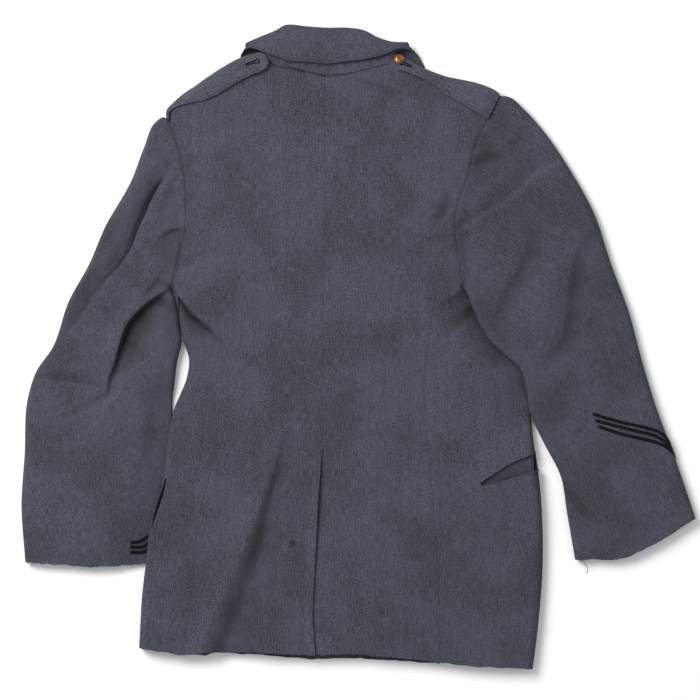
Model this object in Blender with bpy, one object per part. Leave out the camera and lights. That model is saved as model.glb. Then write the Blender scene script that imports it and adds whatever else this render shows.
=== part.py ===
"""A cadet dress coat lying face down: its back is up, its collar points to +Y and its fronts lie on the floor.

The tables are in millimetres, and every mesh is made in metres, with +Z up. Two layers of cloth make each tube:
the body and the two sleeves. A tube turns over at its ridges, whose tables give the floor and the roof of the
cloth there, and its panels are patches between named seam lines.
"""

import math

import bmesh
import bpy
import numpy as np

MM = 0.001
CLOTH = 2.0
SEAM_GAP = 0.3
LIE_GAP = 0.3
BODY_ROOF = 20.0
SLEEVE_ROOF = 16.0
SHOULDER_FLOOR = 3.8

# Seam lines and edges: x, y
CENTRE_SEAM = ((-44, 354), (-44, 192), (-46, 60), (-48, -130))
VENT_EDGE = ((-48, -130), (-53, -198), (-57, -276), (-60, -350), (-57, -399))
LEFT_SIDE_SEAM = ((-233, 124), (-200, 91), (-187, 52), (-178, 4), (-178, -61), (-190, -146), (-207, -224),
                  (-218, -315), (-227, -399))
RIGHT_SIDE_SEAM = ((126, 140), (114, 118), (103, 82), (94, 36), (88, -29), (87, -94), (92, -146), (99, -237),
                   (103, -290), (105, -408))
LEFT_ARMHOLE = ((-244, 79), (-239, 99), (-233, 124), (-226, 156), (-225, 186), (-226, 212), (-230, 244),
                (-238, 270), (-247, 296))
RIGHT_ARMHOLE = ((136, 78), (131, 108), (126, 140), (124, 160), (126, 179), (139, 218), (151, 264), (166, 296),
                 (183, 328))
BACK_NECK_LEFT = ((-122, 385), (-114, 370), (-94, 364.5), (-69, 359), (-44, 354))
BACK_NECK_RIGHT = ((-44, 354), (-20, 355), (3, 360), (27, 366), (40, 370), (45, 381))
FRONT_NECK_LEFT = ((-122, 385), (-116, 366), (-98, 338), (-50, 314), (-10, 312))
FRONT_NECK_RIGHT = ((-10, 318), (20, 338), (38, 364), (45, 381))
HEM = ((-286, -390), (-259, -394), (-227, -399), (-190, -395), (-142, -395), (-57, -399), (-12, -397), (53, -402),
       (105, -408), (144, -413), (226, -417))
FRONT_EDGE = ((-10, 312), (-10, -402))
FRONT_OVERLAP = 60.0

# Ridges, where a tube turns over: x, y, floor, roof
LEFT_SHOULDER = ((-247, 296, 3.8, 20), (-233, 315, 3.8, 20), (-207, 338, 3.8, 20), (-155, 369, 3.8, 20),
                 (-122, 385, 3.8, 20))
RIGHT_SHOULDER = ((183, 328, 3.8, 20), (164, 337, 3.8, 20), (105, 352, 3.8, 20), (79, 362, 3.8, 20), (45, 381, 3.8, 20))
LEFT_SIDE = ((-244, 79, 0, 20), (-234, 60, 0, 20), (-229, 25, 0, 20), (-225, 4, 0, 20), (-221, -16, 0, 20),
             (-224, -39, 0, 20), (-233, -62, 3.8, 20), (-240, -78, 7, 20), (-246, -107, 7, 20), (-255, -172, 7, 20),
             (-272, -233, 9.5, 20), (-277, -280, 9.5, 20), (-281, -312, 0, 20), (-286, -390, 0, 20))
RIGHT_SIDE = ((136, 78, 0, 20), (139, 66, 0, 10), (147, 53, 0, 6), (170, 27, 0, 6), (203, -10, 0, 6),
              (216, -32, 0, 6), (222, -62, 0, 6), (224, -91, 0, 10), (228, -133, 0, 20), (235, -198, 0, 20),
              (239, -276, 0, 20), (233, -360, 0, 20), (226, -417, 0, 20))
LEFT_SLEEVE_INNER = ((-244, 79, 0, 20), (-238, 60, 0, 18), (-233, 30, 0, 16), (-231, 4, 0, 16), (-236, -16, 0, 16),
                     (-240, -47, 0, 12), (-243, -70, 0, 6), (-243, -107, 0, 6), (-251, -172, 0, 6),
                     (-267, -233, 0, 6), (-272, -280, 0, 6))
LEFT_SLEEVE_OUTER = ((-247, 296, 3.8, 20), (-261, 294, 2, 18), (-277, 265, 0, 16), (-296, 218, 0, 16),
                     (-331, 156, 0, 16), (-351, 109, 0, 16), (-377, 62, 0, 16), (-399, 0, 0, 16),
                     (-420, -31, 0, 16), (-430, -62, 0, 16), (-435, -140, 0, 16), (-439, -203, 0, 16),
                     (-434, -277, 0, 16))
RIGHT_SLEEVE_INNER = ((136, 78, 0, 20), (142, 66, 5, 20), (149, 49, 7, 19), (157, 30, 7, 18), (170, 10, 7, 18),
                      (185, -5, 7, 18), (209, -27, 7, 18), (217, -48, 7, 18), (222, -84, 7, 18),
                      (242, -120, 3, 16), (266, -169, 0, 16), (272, -211, 0, 16), (282, -276, 0, 16))
RIGHT_SLEEVE_OUTER = ((183, 328, 3.8, 20), (208, 312, 2, 18), (239, 281, 0, 16), (273, 234, 0, 16), (307, 172, 0, 16),
                      (328, 109, 0, 16), (351, 47, 0, 16), (368, -16, 0, 16), (387, -78, 0, 16),
                      (410, -140, 0, 16), (438, -222, 0, 16))
LEFT_CUFF = ((-272, -280), (-343, -282), (-402, -278), (-434, -277))
RIGHT_CUFF = ((282, -276), (313, -274), (337, -274), (385, -254), (438, -222))

# How far a ridge's own floor and roof reach into its tube
REACH = 55.0
STRAP_HOLD = 34.0
NECK_CENTRE = (-40.0, 368.0)
NECK_FLOOR_RADIUS, NECK_FLOOR_FADE = 115.0, 45.0

# The vent: how far the right back runs under the left one, and how deep it drops there
VENT_UNDERLAP, VENT_DROP = 32.0, CLOTH + 2 * LIE_GAP
VENT_EASE = 12.0
VENT_STEP_START, VENT_STEP_END = 1.0, 9.0
FRONT_OVERLAP_LIFT = CLOTH + 4 * LIE_GAP
FRONT_STEP_START, FRONT_STEP_END = 1.5, 12.0

# The front layer shows below the back's hem by these amounts: x, drop
FRONT_HEM = ((-286, 0.5), (-215, 1), (-200, 4), (-190, 1), (-110, 2), (-60, 3), (-30, 1), (60, 3), (150, 3),
             (226, 0.5))

# Shoulder straps: share of the shoulder from its sleeve end, reach on the back, reach on the front
LEFT_STRAP = ((0.02, 6.6, 30), (0.09, 8, 30), (0.17, 11.5, 28), (0.27, 18.5, 26), (0.37, 24.5, 22), (0.45, 27, 18),
              (0.57, 28.3, 13), (0.7, 28.3, 6), (0.83, 27.5, 1), (0.9, 27.5, -3), (1.0, 27, -4.5))
RIGHT_STRAP = ((0.02, 39, 10), (0.2, 37, 11), (0.32, 32, 13), (0.44, 26.5, 15), (0.56, 18.5, 17), (0.67, 14.8, 8),
               (0.81, 14.6, 3), (0.9, 16, 1), (1.0, 16, 0))
STRAP_ROWS = (0.1, 0.2, 0.34, 0.45, 0.55, 0.66, 0.76, 0.88)
STRAP_END_ROUND, STRAP_GAP = 0.08, 1.7
BUTTON_SHARE, BUTTON_ARC = 0.938, 9.2

# Braid, a row at a time: x, y of its middle. On the right sleeve a row goes on round the outer ridge, at these
# distances along it and arcs from it.
LEFT_BRAID = (((-297.4, -252.6), (-285.9, -251.8), (-278, -247.3), (-273.2, -243.3)),
              ((-297.4, -258.6), (-285.9, -259.1), (-279, -257.2), (-273.2, -252.2)),
              ((-297.1, -265.5), (-284, -265.7), (-278, -264.2), (-273.2, -260.6)))
RIGHT_BRAID = (((304.2, -85.8), (339.7, -96.2), (372.6, -103.6), (387.1, -108), (396.2, -113.5), (401, -119.5)),
               ((306.8, -94), (330.6, -100.3), (357.9, -107.3), (385.3, -114.5), (394.4, -119.4), (402.3, -126)),
               ((310.6, -101.8), (339.7, -111.4), (367.1, -117.8), (385.3, -122.4), (400, -129), (406.6, -134.6)))
BRAID_ROUND = ((6, 0), (13, -6))
BRAID_WIDTH, BRAID_THICK, BRAID_GAP, LEFT_BRAID_GAP = 4.2, 1.4, 0.9, 1.8

# Collar, from its left front end round the back to its right front end: the neck seam it stands on, the share of
# that seam from the shoulder, the roll's place and the fall's edge
COLLAR = (
    ("left", "front", 0.72, (-58, 345, 4), (-72, 306, 0.3)),
    ("left", "front", 0.50, (-78, 353, 4), (-110, 322, 0.3)),
    ("left", "front", 0.30, (-98, 374, 4), (-140, 350, 0.3)),
    ("left", "front", 0.12, (-117, 395, 6), (-153, 374, 1)),
    ("left", "back", 0.00, (-140, 396, 11), (-151, 384, 8)),
    ("left", "back", 0.12, (-129, 401, 16), (-141, 390, 19)),
    ("left", "back", 0.25, (-112, 408, 18), (-115, 381, 25)),
    ("left", "back", 0.50, (-93, 417, 18), (-90, 373, 25)),
    ("left", "back", 0.75, (-66, 415, 18), (-64, 371, 25)),
    ("left", "back", 1.00, (-42, 413.5, 18), (-42, 369, 25)),
    ("right", "back", 0.75, (-16, 413.5, 18), (-16, 372, 25)),
    ("right", "back", 0.50, (6, 410, 18), (8, 375, 25)),
    ("right", "back", 0.25, (28, 399, 18), (33, 381, 25)),
    ("right", "back", 0.12, (42, 394, 16), (53, 388, 20)),
    ("right", "back", 0.00, (62, 393.5, 11), (74, 380, 7)),
    ("right", "front", 0.12, (40, 389, 5.5), (84, 364.5, 0.6)),
    ("right", "front", 0.30, (22, 374, 3.6), (62, 338, 0.3)),
    ("right", "front", 0.50, (2, 356, 4), (36, 316, 0.3)),
    ("right", "front", 0.72, (-14, 346, 4), (4, 302, 0.3)),
)
ROLL_GAP, STAND_SEAM_GAP, STAND_LEAN = 0.6, 0.5, 5.0

# Pockets. Left: the slit runs along the ridge between these two levels. Right: the mouth's lips, x, y
LEFT_MOUTH = (-169, -230)
RIGHT_UPPER_LIP = ((100, -174), (159, -174), (177, -160), (196, -149), (216, -143), (240, -139))
RIGHT_LOWER_LIP = ((100, -180), (159, -178), (183, -170), (209, -163), (232, -157), (240, -156))

# Brass button, as a turned profile: radius, height
BUTTON = ((2.5, 0), (2.5, 1.5), (7.0, 1.8), (7.5, 2.4), (6.8, 3.6), (4.5, 4.8), (0.8, 5.4))
BUTTON_SIDES = 16

# The facings: levels of the rows, places of the columns and how far the last row lies below the first. The left
# one leans with the ridge by LEFT_FACING_LEAN, and the right one climbs by RIGHT_FACING_SLOPE.
LEFT_FACING = ((-160, -195, -232), (-242, -222), 2.5)
RIGHT_FACING = ((-170, -180, -200, -215), (150, 175, 205), 6.0)
LEFT_FACING_LEAN, RIGHT_FACING_SLOPE = 15.0, 0.42

# Where a net's rows and columns lie, as shares of its edges. The rows of a side seam leave room for a pocket's
# mouth, and TURN holds distances from a ridge over the radius of the cloth's turn there.
UPPER_ROWS, LOWER_ROWS = (0, 0.07, 0.17, 0.3, 0.44), (0.72, 0.86, 1.0)
MOUTH_ROW = len(UPPER_ROWS)
TURN = np.array([0.0, 0.12, 0.45, 1.0])
PIT_TURN, TIP_TURN, PIT_STATION, HEAD_STATIONS = 10.0, 8.5, 0.6, 6
PANEL_KNOT, TOP_KNOT = 0.36, 0.6
SHOULDER_COLUMNS = np.array([0, 0.1, 0.2, 0.34, 0.55, 0.76, 0.9])
BACK_NECK_COLUMNS = np.array([0, 0.12, 0.25, 0.5, 0.75, 1.0])
FRONT_NECK_COLUMNS = np.array([0, 0.12, 0.3, 0.5, 0.72, 1.0])
BACK_COLUMNS = np.concatenate([SHOULDER_COLUMNS * TOP_KNOT, TOP_KNOT + (1 - TOP_KNOT) * BACK_NECK_COLUMNS])
FRONT_COLUMNS = np.concatenate([SHOULDER_COLUMNS * TOP_KNOT, TOP_KNOT + (1 - TOP_KNOT) * FRONT_NECK_COLUMNS])
HEM_DROP_FROM = 0.9
SLEEVE_ROWS = np.array([0, 0.02, 0.05, 0.1, 0.17, 0.26, 0.36, 0.46, 0.56, 0.68, 0.84, 1.0])
STRAP_TIP_ROWS = np.array([0.35, 0.75, 0.93, 1.0])
STRAP_ARCS = (-30, -21, -13, -7, 0, 7, 13, 21, 30, 40)
STRAP_LEAST_STEP, STRAP_TIP_WIDTH = 0.8, 0.3
STAND_ROWS, FALL_TURN = (0, 0.3, 0.65, 1.0), (-90, -30, 30, 90)

# A pocket's mouth is left out of its side body at these cells, counted from the ridge's column
RIDGE_COLUMN = 5
POCKET_HOLES = {"left": {(MOUTH_ROW, RIDGE_COLUMN + 2)},
                "right": {(MOUTH_ROW, RIDGE_COLUMN + k) for k in range(4)}}

# Sleeves: how soon the body's form, the armhole's bulge and the cuff's one fade, the columns of the seams on
# the upper and the lower layer, and which cut lies past them and which before them
SLEEVE_BLEND, STATION_FADE = 0.05, 0.25
ARMHOLE_BULGE_FADE, CUFF_BULGE_FADE = 0.35, 0.2
HEAD_SEAM = 1.6
SLEEVE_SEAMS = {"left": (6, 7), "right": (8, 6)}
SLEEVE_CUTS = {"left": ("under", "top"), "right": ("top", "under")}
BRAID_COLUMNS = 9


class Line:
    """A smooth line through a table's rows, read by its share of length from 0 to 1."""

    def __init__(self, rows):
        self.rows = np.array(rows, float)
        steps = np.linalg.norm(np.diff(self.rows[:, :2], axis=0), axis=1)
        self.at = np.concatenate([[0.0], np.cumsum(steps)])
        self.length = self.at[-1]
        self.at /= self.length
        gaps = np.diff(self.at)[:, None]
        slopes = np.diff(self.rows, axis=0) / gaps
        inner = (slopes[:-1] * gaps[1:] + slopes[1:] * gaps[:-1]) / (gaps[:-1] + gaps[1:])
        self.slopes = np.vstack([slopes[:1], inner, slopes[-1:]])

    def __call__(self, share):
        share = np.clip(np.asarray(share, float), 0, 1)
        k = np.clip(np.searchsorted(self.at, share, side="right") - 1, 0, len(self.at) - 2)
        gap = self.at[k + 1] - self.at[k]
        s = (share - self.at[k]) / gap
        a, b = (1 + 2 * s) * (1 - s) ** 2, s * (1 - s) ** 2 * gap
        c, d = s * s * (3 - 2 * s), s * s * (s - 1) * gap
        return (a[..., None] * self.rows[k] + b[..., None] * self.slopes[k]
                + c[..., None] * self.rows[k + 1] + d[..., None] * self.slopes[k + 1])


class Chain:
    """Several lines read as one, with the shares at which one gives way to the next."""

    def __init__(self, lines, knots):
        self.lines, self.knots = lines, knots

    def __call__(self, share):
        share = np.atleast_1d(np.asarray(share, float))
        out = np.empty((len(share), 2))
        for line, low, high in zip(self.lines, self.knots[:-1], self.knots[1:]):
            here = (share >= low) & ((share < high) | (high == self.knots[-1]))
            out[here] = line((share[here] - low) / (high - low))[:, :2]
        return out


def stretch(line, start, end):
    """The part of a line between two of its shares, which may run backwards."""
    return lambda share: line(start + (end - start) * np.asarray(share))[..., :2]


def fade(x):
    x = np.clip(x, 0, 1)
    return x * x * (3 - 2 * x)


class Ridge:
    """The turn between a tube's two layers, with its own floor and roof."""

    def __init__(self, rows, middle, hold=0.0):
        self.hold = hold
        self.samples = Line(rows)(np.linspace(0, 1, 241))
        step = np.diff(self.samples[:, :2], axis=0)
        across = np.column_stack([-step[:, 1], step[:, 0]]) / np.linalg.norm(step, axis=1)[:, None]
        away = np.sign(((self.samples[:-1, :2] - middle) * across).sum(1))
        self.outward = across * away[:, None]

    def nearest(self, plan):
        """Distance, direction out of the cloth, floor and roof for each point of an (n, 2) array."""
        start, step = self.samples[:-1, :2], np.diff(self.samples[:, :2], axis=0)
        along = np.einsum("nkd,kd->nk", plan[:, None] - start[None], step) / (step ** 2).sum(1)
        along = np.clip(along, 0, 1)
        feet = start[None] + along[..., None] * step[None]
        apart = np.linalg.norm(plan[:, None] - feet, axis=2)
        k = apart.argmin(1)
        row = np.arange(len(plan))
        away, near = apart[row, k], along[row, k]
        levels = self.samples[k, 2:4] + near[:, None] * (self.samples[k + 1, 2:4] - self.samples[k, 2:4])
        out = (feet[row, k] - plan) / np.maximum(away, 1e-9)[:, None]
        out[away < 0.05] = self.outward[k[away < 0.05]]
        return away, out, levels[:, 0], levels[:, 1]


class Tube:
    """Two layers of cloth that turn into each other at their ridges."""

    def __init__(self, ridges, roof, floor=None):
        self.ridges, self.roof, self.floor = ridges, roof, floor

    def layer(self, plan, side):
        """Heights and outward directions of the outer face: side is 1 for the upper layer and -1 for the lower."""
        shape = plan.shape[:-1]
        plan = plan.reshape(-1, 2)
        level = np.full(len(plan), self.roof if side > 0 else 0.0)
        if side < 0 and self.floor:
            level = self.floor(plan)
        drop = np.zeros(len(plan))
        out = np.tile([0.0, 0.0, float(side)], (len(plan), 1))
        for ridge in self.ridges:
            away, across, floor, roof = ridge.nearest(plan)
            own = roof if side > 0 else floor
            share = 1 - fade((away - ridge.hold) / REACH)
            change = (own - (self.roof if side > 0 else 0.0)) * share
            level = level + change if side > 0 else np.maximum(level, change)
            radius = (roof - floor) / 2
            inward = np.clip(1 - away / radius, 0, 1)
            rise = radius * (1 - np.sqrt(1 - inward ** 2))
            turned = rise > drop
            drop = np.maximum(drop, rise)
            tilt = np.column_stack([across * inward[:, None], side * np.sqrt(1 - inward ** 2)])
            out[turned] = tilt[turned]
        return (level - side * drop).reshape(shape), out.reshape(shape + (3,))


def neck_floor(plan):
    away = np.linalg.norm(plan - NECK_CENTRE, axis=1)
    return SHOULDER_FLOOR * (1 - fade((away - NECK_FLOOR_RADIUS) / NECK_FLOOR_FADE))


def patch(left, right, top, bottom, across, down):
    """A smooth net between four edges: across and down hold the shares of its columns, per row, and of its rows."""
    across = np.broadcast_to(across, (len(down), np.shape(across)[-1]))
    net = np.empty(across.shape + (2,))
    corners = [edge(np.array([share]))[0] for edge in (top, bottom) for share in (0.0, 1.0)]
    for k, v in enumerate(down):
        u = across[k][:, None]
        net[k] = ((1 - u) * left(np.array([v]))[0] + u * right(np.array([v]))[0]
                  + (1 - v) * top(across[k]) + v * bottom(across[k])
                  - (1 - v) * ((1 - u) * corners[0] + u * corners[1])
                  - v * ((1 - u) * corners[2] + u * corners[3]))
    return net


def shrink(outer, inner, sides, by=SEAM_GAP / 2):
    """Draws the named edges of a net in, by half a seam's gap unless it is said."""
    for side in sides:
        edge, near = (0, 1) if side.startswith("first") else (-1, -2)
        for net in (outer, inner):
            view = net if side.endswith("row") else net.swapaxes(0, 1)
            step = outer if side.endswith("row") else outer.swapaxes(0, 1)
            way = step[near] - step[edge]
            way = way / np.linalg.norm(way, axis=-1)[:, None]
            if net is outer:
                first_way = way
            view[edge] += (first_way if net is inner else way) * by


def make_object(name, points, faces, material):
    mesh = bpy.data.meshes.new(name)
    mesh.from_pydata([tuple(p) for p in np.asarray(points) * MM], [], faces)
    shape = bmesh.new()
    shape.from_mesh(mesh)
    bmesh.ops.recalc_face_normals(shape, faces=shape.faces)
    shape.to_mesh(mesh)
    shape.free()
    mesh.materials.append(material)
    mesh.shade_smooth()
    mesh.set_sharp_from_angle(angle=math.radians(40))
    thing = bpy.data.objects.new(name, mesh)
    thing.parent = bpy.data.objects["coat"]
    bpy.context.scene.collection.objects.link(thing)
    return thing


def wall(name, outer, inner, material, holes=()):
    """One closed piece of cloth from its outer and inner nets. holes lists cells (row, column) that are cut out."""
    rows, columns = outer.shape[:2]
    points = np.concatenate([outer.reshape(-1, 3), inner.reshape(-1, 3)])
    shift = rows * columns
    faces, edges = [], {}
    for i in range(rows - 1):
        for j in range(columns - 1):
            if (i, j) in holes:
                continue
            a, b = i * columns + j, i * columns + j + 1
            c, d = b + columns, a + columns
            faces += [(a, b, c), (a, c, d), (c + shift, b + shift, a + shift), (d + shift, c + shift, a + shift)]
            for start, end in ((a, b), (b, c), (c, d), (d, a)):
                edges[start, end] = True
    for start, end in edges:
        if (end, start) not in edges:
            faces += [(end, start, start + shift), (end, start + shift, end + shift)]
    used = sorted({p for face in faces for p in face})
    place = {p: k for k, p in enumerate(used)}
    return make_object(name, points[used], [tuple(place[p] for p in face) for face in faces], material)


def lifted(tube, plan, side):
    """Outer and inner points of a panel that makes one layer of a tube."""
    height, out = tube.layer(plan, side)
    outer = np.dstack([plan, height])
    return outer, outer - out * CLOTH


# The tubes and their seams
BODY_MIDDLE, LEFT_SLEEVE_MIDDLE, RIGHT_SLEEVE_MIDDLE = (-30, 0), (-340, 30), (250, 50)
BODY = Tube([Ridge(LEFT_SHOULDER, BODY_MIDDLE, STRAP_HOLD), Ridge(RIGHT_SHOULDER, BODY_MIDDLE, STRAP_HOLD),
             Ridge(LEFT_SIDE, BODY_MIDDLE), Ridge(RIGHT_SIDE, BODY_MIDDLE)], BODY_ROOF, neck_floor)


def share_at(line, row):
    """The share of a line at which it passes one of its table's rows."""
    return float(line.at[row])


def hem_line(start, end):
    """The hem between two places along X, as y for each x."""
    table = np.array(HEM, float)

    def at(share):
        x = start + (end - start) * np.asarray(share)
        return np.column_stack([x, np.interp(x, table[:, 0], table[:, 1])])

    return at


class Side:
    """The seam lines of the coat's left or right half."""

    def __init__(self, name):
        left = name == "left"
        self.name = name
        self.armhole = Line(LEFT_ARMHOLE if left else RIGHT_ARMHOLE)
        self.join = share_at(self.armhole, 2)
        self.shoulder = Line(LEFT_SHOULDER if left else RIGHT_SHOULDER)
        self.ridge = Line(LEFT_SIDE if left else RIGHT_SIDE)
        self.seam = Line(LEFT_SIDE_SEAM if left else RIGHT_SIDE_SEAM)
        self.back_neck = Line(BACK_NECK_LEFT if left else BACK_NECK_RIGHT[::-1])
        self.front_neck = Line(FRONT_NECK_LEFT if left else FRONT_NECK_RIGHT[::-1])
        self.inner = Line(LEFT_SLEEVE_INNER if left else RIGHT_SLEEVE_INNER)
        self.outer = Line(LEFT_SLEEVE_OUTER if left else RIGHT_SLEEVE_OUTER)
        self.cuff = Line(LEFT_CUFF if left else RIGHT_CUFF)
        self.middle = LEFT_SLEEVE_MIDDLE if left else RIGHT_SLEEVE_MIDDLE
        self.sleeve = Tube([Ridge(line.rows, self.middle) for line in (self.inner, self.outer)], SLEEVE_ROOF)
        self.arm_stations = self.stations()
        dense = np.linspace(0, 1, 801)
        levels = LEFT_MOUTH if left else (RIGHT_UPPER_LIP[4][1], RIGHT_LOWER_LIP[4][1])
        mouth = [float(np.interp(-level, -self.ridge(dense)[:, 1], dense)) for level in levels]
        self.seam_rows = np.array(UPPER_ROWS + tuple(mouth) + LOWER_ROWS)

    def stations(self):
        """Shares of the armhole, from the armpit to the shoulder, close together where the cloth turns over."""
        near = TURN * PIT_TURN / self.armhole.length
        far = 1 - TURN[::-1] * TIP_TURN / self.armhole.length
        middle = np.linspace(self.join, far[0], HEAD_STATIONS)
        return np.concatenate([near, [self.join * PIT_STATION], middle[:-1], far])


def body_rows(half):
    """Row shares of a back or front panel: the armhole's stations from the shoulder down, then the side seam's."""
    arm = 1 - half.arm_stations[half.arm_stations >= half.join - 1e-9][::-1]
    arm = arm / arm[-1] * PANEL_KNOT
    seam = PANEL_KNOT + (1 - PANEL_KNOT) * half.seam_rows[1:]
    return np.concatenate([arm, seam])


def upper_edges(half, inner_line, neck, corner_end):
    """The four edges of a back or front panel, from the armhole side to the middle."""
    outside = Chain([stretch(half.armhole, 1, half.join), half.seam], (0, PANEL_KNOT, 1))
    top = Chain([half.shoulder, neck], (0, TOP_KNOT, 1))
    hem = hem_line(half.seam.rows[-1, 0], corner_end)
    return outside, inner_line, top, hem


def middle_line(table, level):
    """A line down the middle of the coat, whose knot stands level with the join of the armhole and side seam."""
    line = Line(table)
    dense = np.linspace(0, 1, 401)
    knot = float(np.interp(-level, -line(dense)[:, 1], dense))
    return Chain([stretch(line, 0, knot), stretch(line, knot, 1)], (0, PANEL_KNOT, 1))


def make_backs(halves, material):
    for half in halves:
        table = CENTRE_SEAM + VENT_EDGE[1:]
        middle = middle_line(table, half.armhole.rows[2, 1])
        edges = upper_edges(half, middle, half.back_neck, VENT_EDGE[-1][0])
        rows = body_rows(half)
        net = patch(*edges, BACK_COLUMNS, rows)
        drop = np.zeros(net.shape[:2])
        if half.name == "right":
            net, drop = with_underlap(net)
        outer, inner = lifted(BODY, net, 1)
        for face in (outer, inner):
            face[..., 2] -= drop
        shrink(outer, inner, ("first row", "first column"))
        if half.name == "left":
            shrink_seam(outer, inner)
        wall(f"back_{half.name}", outer, inner, material)


def lap_columns(net, offsets):
    """Adds columns to a right panel, at these distances from its last one, for the part that lies under or over."""
    added = []
    for offset in offsets:
        column = net[:, -1].copy()
        column[:, 0] += offset
        added.append(column[:, None])
    return np.concatenate([net[:, :-1]] + added, axis=1)


def with_underlap(net):
    """The right back with its underlap, and how far it lies lower where the left one covers it."""
    below = (net[:, -1, 1] < VENT_EDGE[0][1] + VENT_EASE).astype(float)
    net = lap_columns(net, (VENT_STEP_END, VENT_STEP_START, SEAM_GAP / 2 - VENT_UNDERLAP * below))
    sunk = np.append(below[1:], 1.0)
    across = np.zeros(net.shape[1])
    across[-2:] = 1
    return net, VENT_DROP * sunk[:, None] * across


def shrink_seam(outer, inner):
    """Draws the left back off the centre seam."""
    for face in (outer, inner):
        face[:, -1, 0] -= SEAM_GAP / 2


def make_fronts(halves, material):
    for half in halves:
        top = half.front_neck.rows[-1]
        middle = middle_line((top, FRONT_EDGE[1]), half.armhole.rows[2, 1])
        edges = upper_edges(half, middle, half.front_neck, FRONT_EDGE[1][0])
        rows = body_rows(half)
        net = patch(*edges, FRONT_COLUMNS, rows)
        drop = np.array(FRONT_HEM, float)
        share = fade((rows - HEM_DROP_FROM) / (1 - HEM_DROP_FROM))
        net[..., 1] -= np.interp(net[..., 0], drop[:, 0], drop[:, 1]) * share[:, None]
        lift = np.zeros(net.shape[1])
        if half.name == "right":
            net = lap_columns(net, (FRONT_STEP_END, FRONT_STEP_START, -FRONT_OVERLAP))
            lift = np.append(np.zeros(net.shape[1] - 2), [FRONT_OVERLAP_LIFT] * 2)
        outer, inner = lifted(BODY, net, -1)
        for face in (outer, inner):
            face[..., 2] += lift
        shrink(outer, inner, ("first row", "first column"))
        wall(f"front_{half.name}", outer, inner, material)


def make_sides(halves, material):
    """Each side body starts at the front seam below, turns over at the ridge and ends at the back's side seam."""
    for half in halves:
        pit = half.arm_stations[half.arm_stations <= half.join + 1e-9]
        top = stretch(half.armhole, 0, half.join)
        hem = hem_line(half.ridge.rows[-1, 0], half.seam.rows[-1, 0])
        rows = half.seam_rows
        ridge_rows = Chain([half.ridge], (0, 1))
        width = np.linalg.norm(ridge_rows(rows) - half.seam(rows)[:, :2], axis=1)
        turn = len(TURN)
        radius = (half.ridge(rows)[:, 3] - half.ridge(rows)[:, 2]) / 2
        across = np.empty((len(rows), len(pit)))
        for k in range(len(rows)):
            near = TURN * radius[k] / width[k]
            far = near[-1] + (1 - near[-1]) * np.linspace(0, 1, len(pit) - turn + 1)[1:]
            across[k] = np.concatenate([near, far])
        across[0] = pit / half.join
        net = patch(ridge_rows, Chain([half.seam], (0, 1)), top, hem, across, rows)
        if half.name == "right":
            for row, lip in ((MOUTH_ROW, RIGHT_UPPER_LIP), (MOUTH_ROW + 1, RIGHT_LOWER_LIP)):
                net[row, :-1, 1] = np.interp(net[row, :-1, 0], *np.array(lip, float).T)
        above, above_in = lifted(BODY, net, 1)
        below, below_in = lifted(BODY, net, -1)
        outer = np.concatenate([below[:, ::-1], above[:, 1:]], axis=1)
        inner = np.concatenate([below_in[:, ::-1], above_in[:, 1:]], axis=1)
        shrink(outer, inner, ("first row", "first column", "last column"))
        wall(f"side_{half.name}", outer, inner, material, holes=POCKET_HOLES[half.name])


def sleeve_net(half, across, rows):
    """Rows across the sleeve that take the armhole's bulge at its head and the cuff's at its end."""
    pit, tip = half.armhole(0.0)[:2], half.armhole(1.0)[:2]
    chord = tip - pit
    net = np.empty(across.shape + (2,))
    for k, row in enumerate(rows):
        u = across[k][:, None]
        net[k] = (1 - u) * half.inner(row)[:2] + u * half.outer(row)[:2]
        bulge = half.armhole(across[k])[:, :2] - (pit + u * chord)
        cuff = half.cuff(across[k])[:, :2] - ((1 - u) * half.cuff(0.0)[:2] + u * half.cuff(1.0)[:2])
        net[k] += bulge * (1 - fade(row / ARMHOLE_BULGE_FADE)) + cuff * fade((row - 1) / CUFF_BULGE_FADE + 1)
    return net


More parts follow.
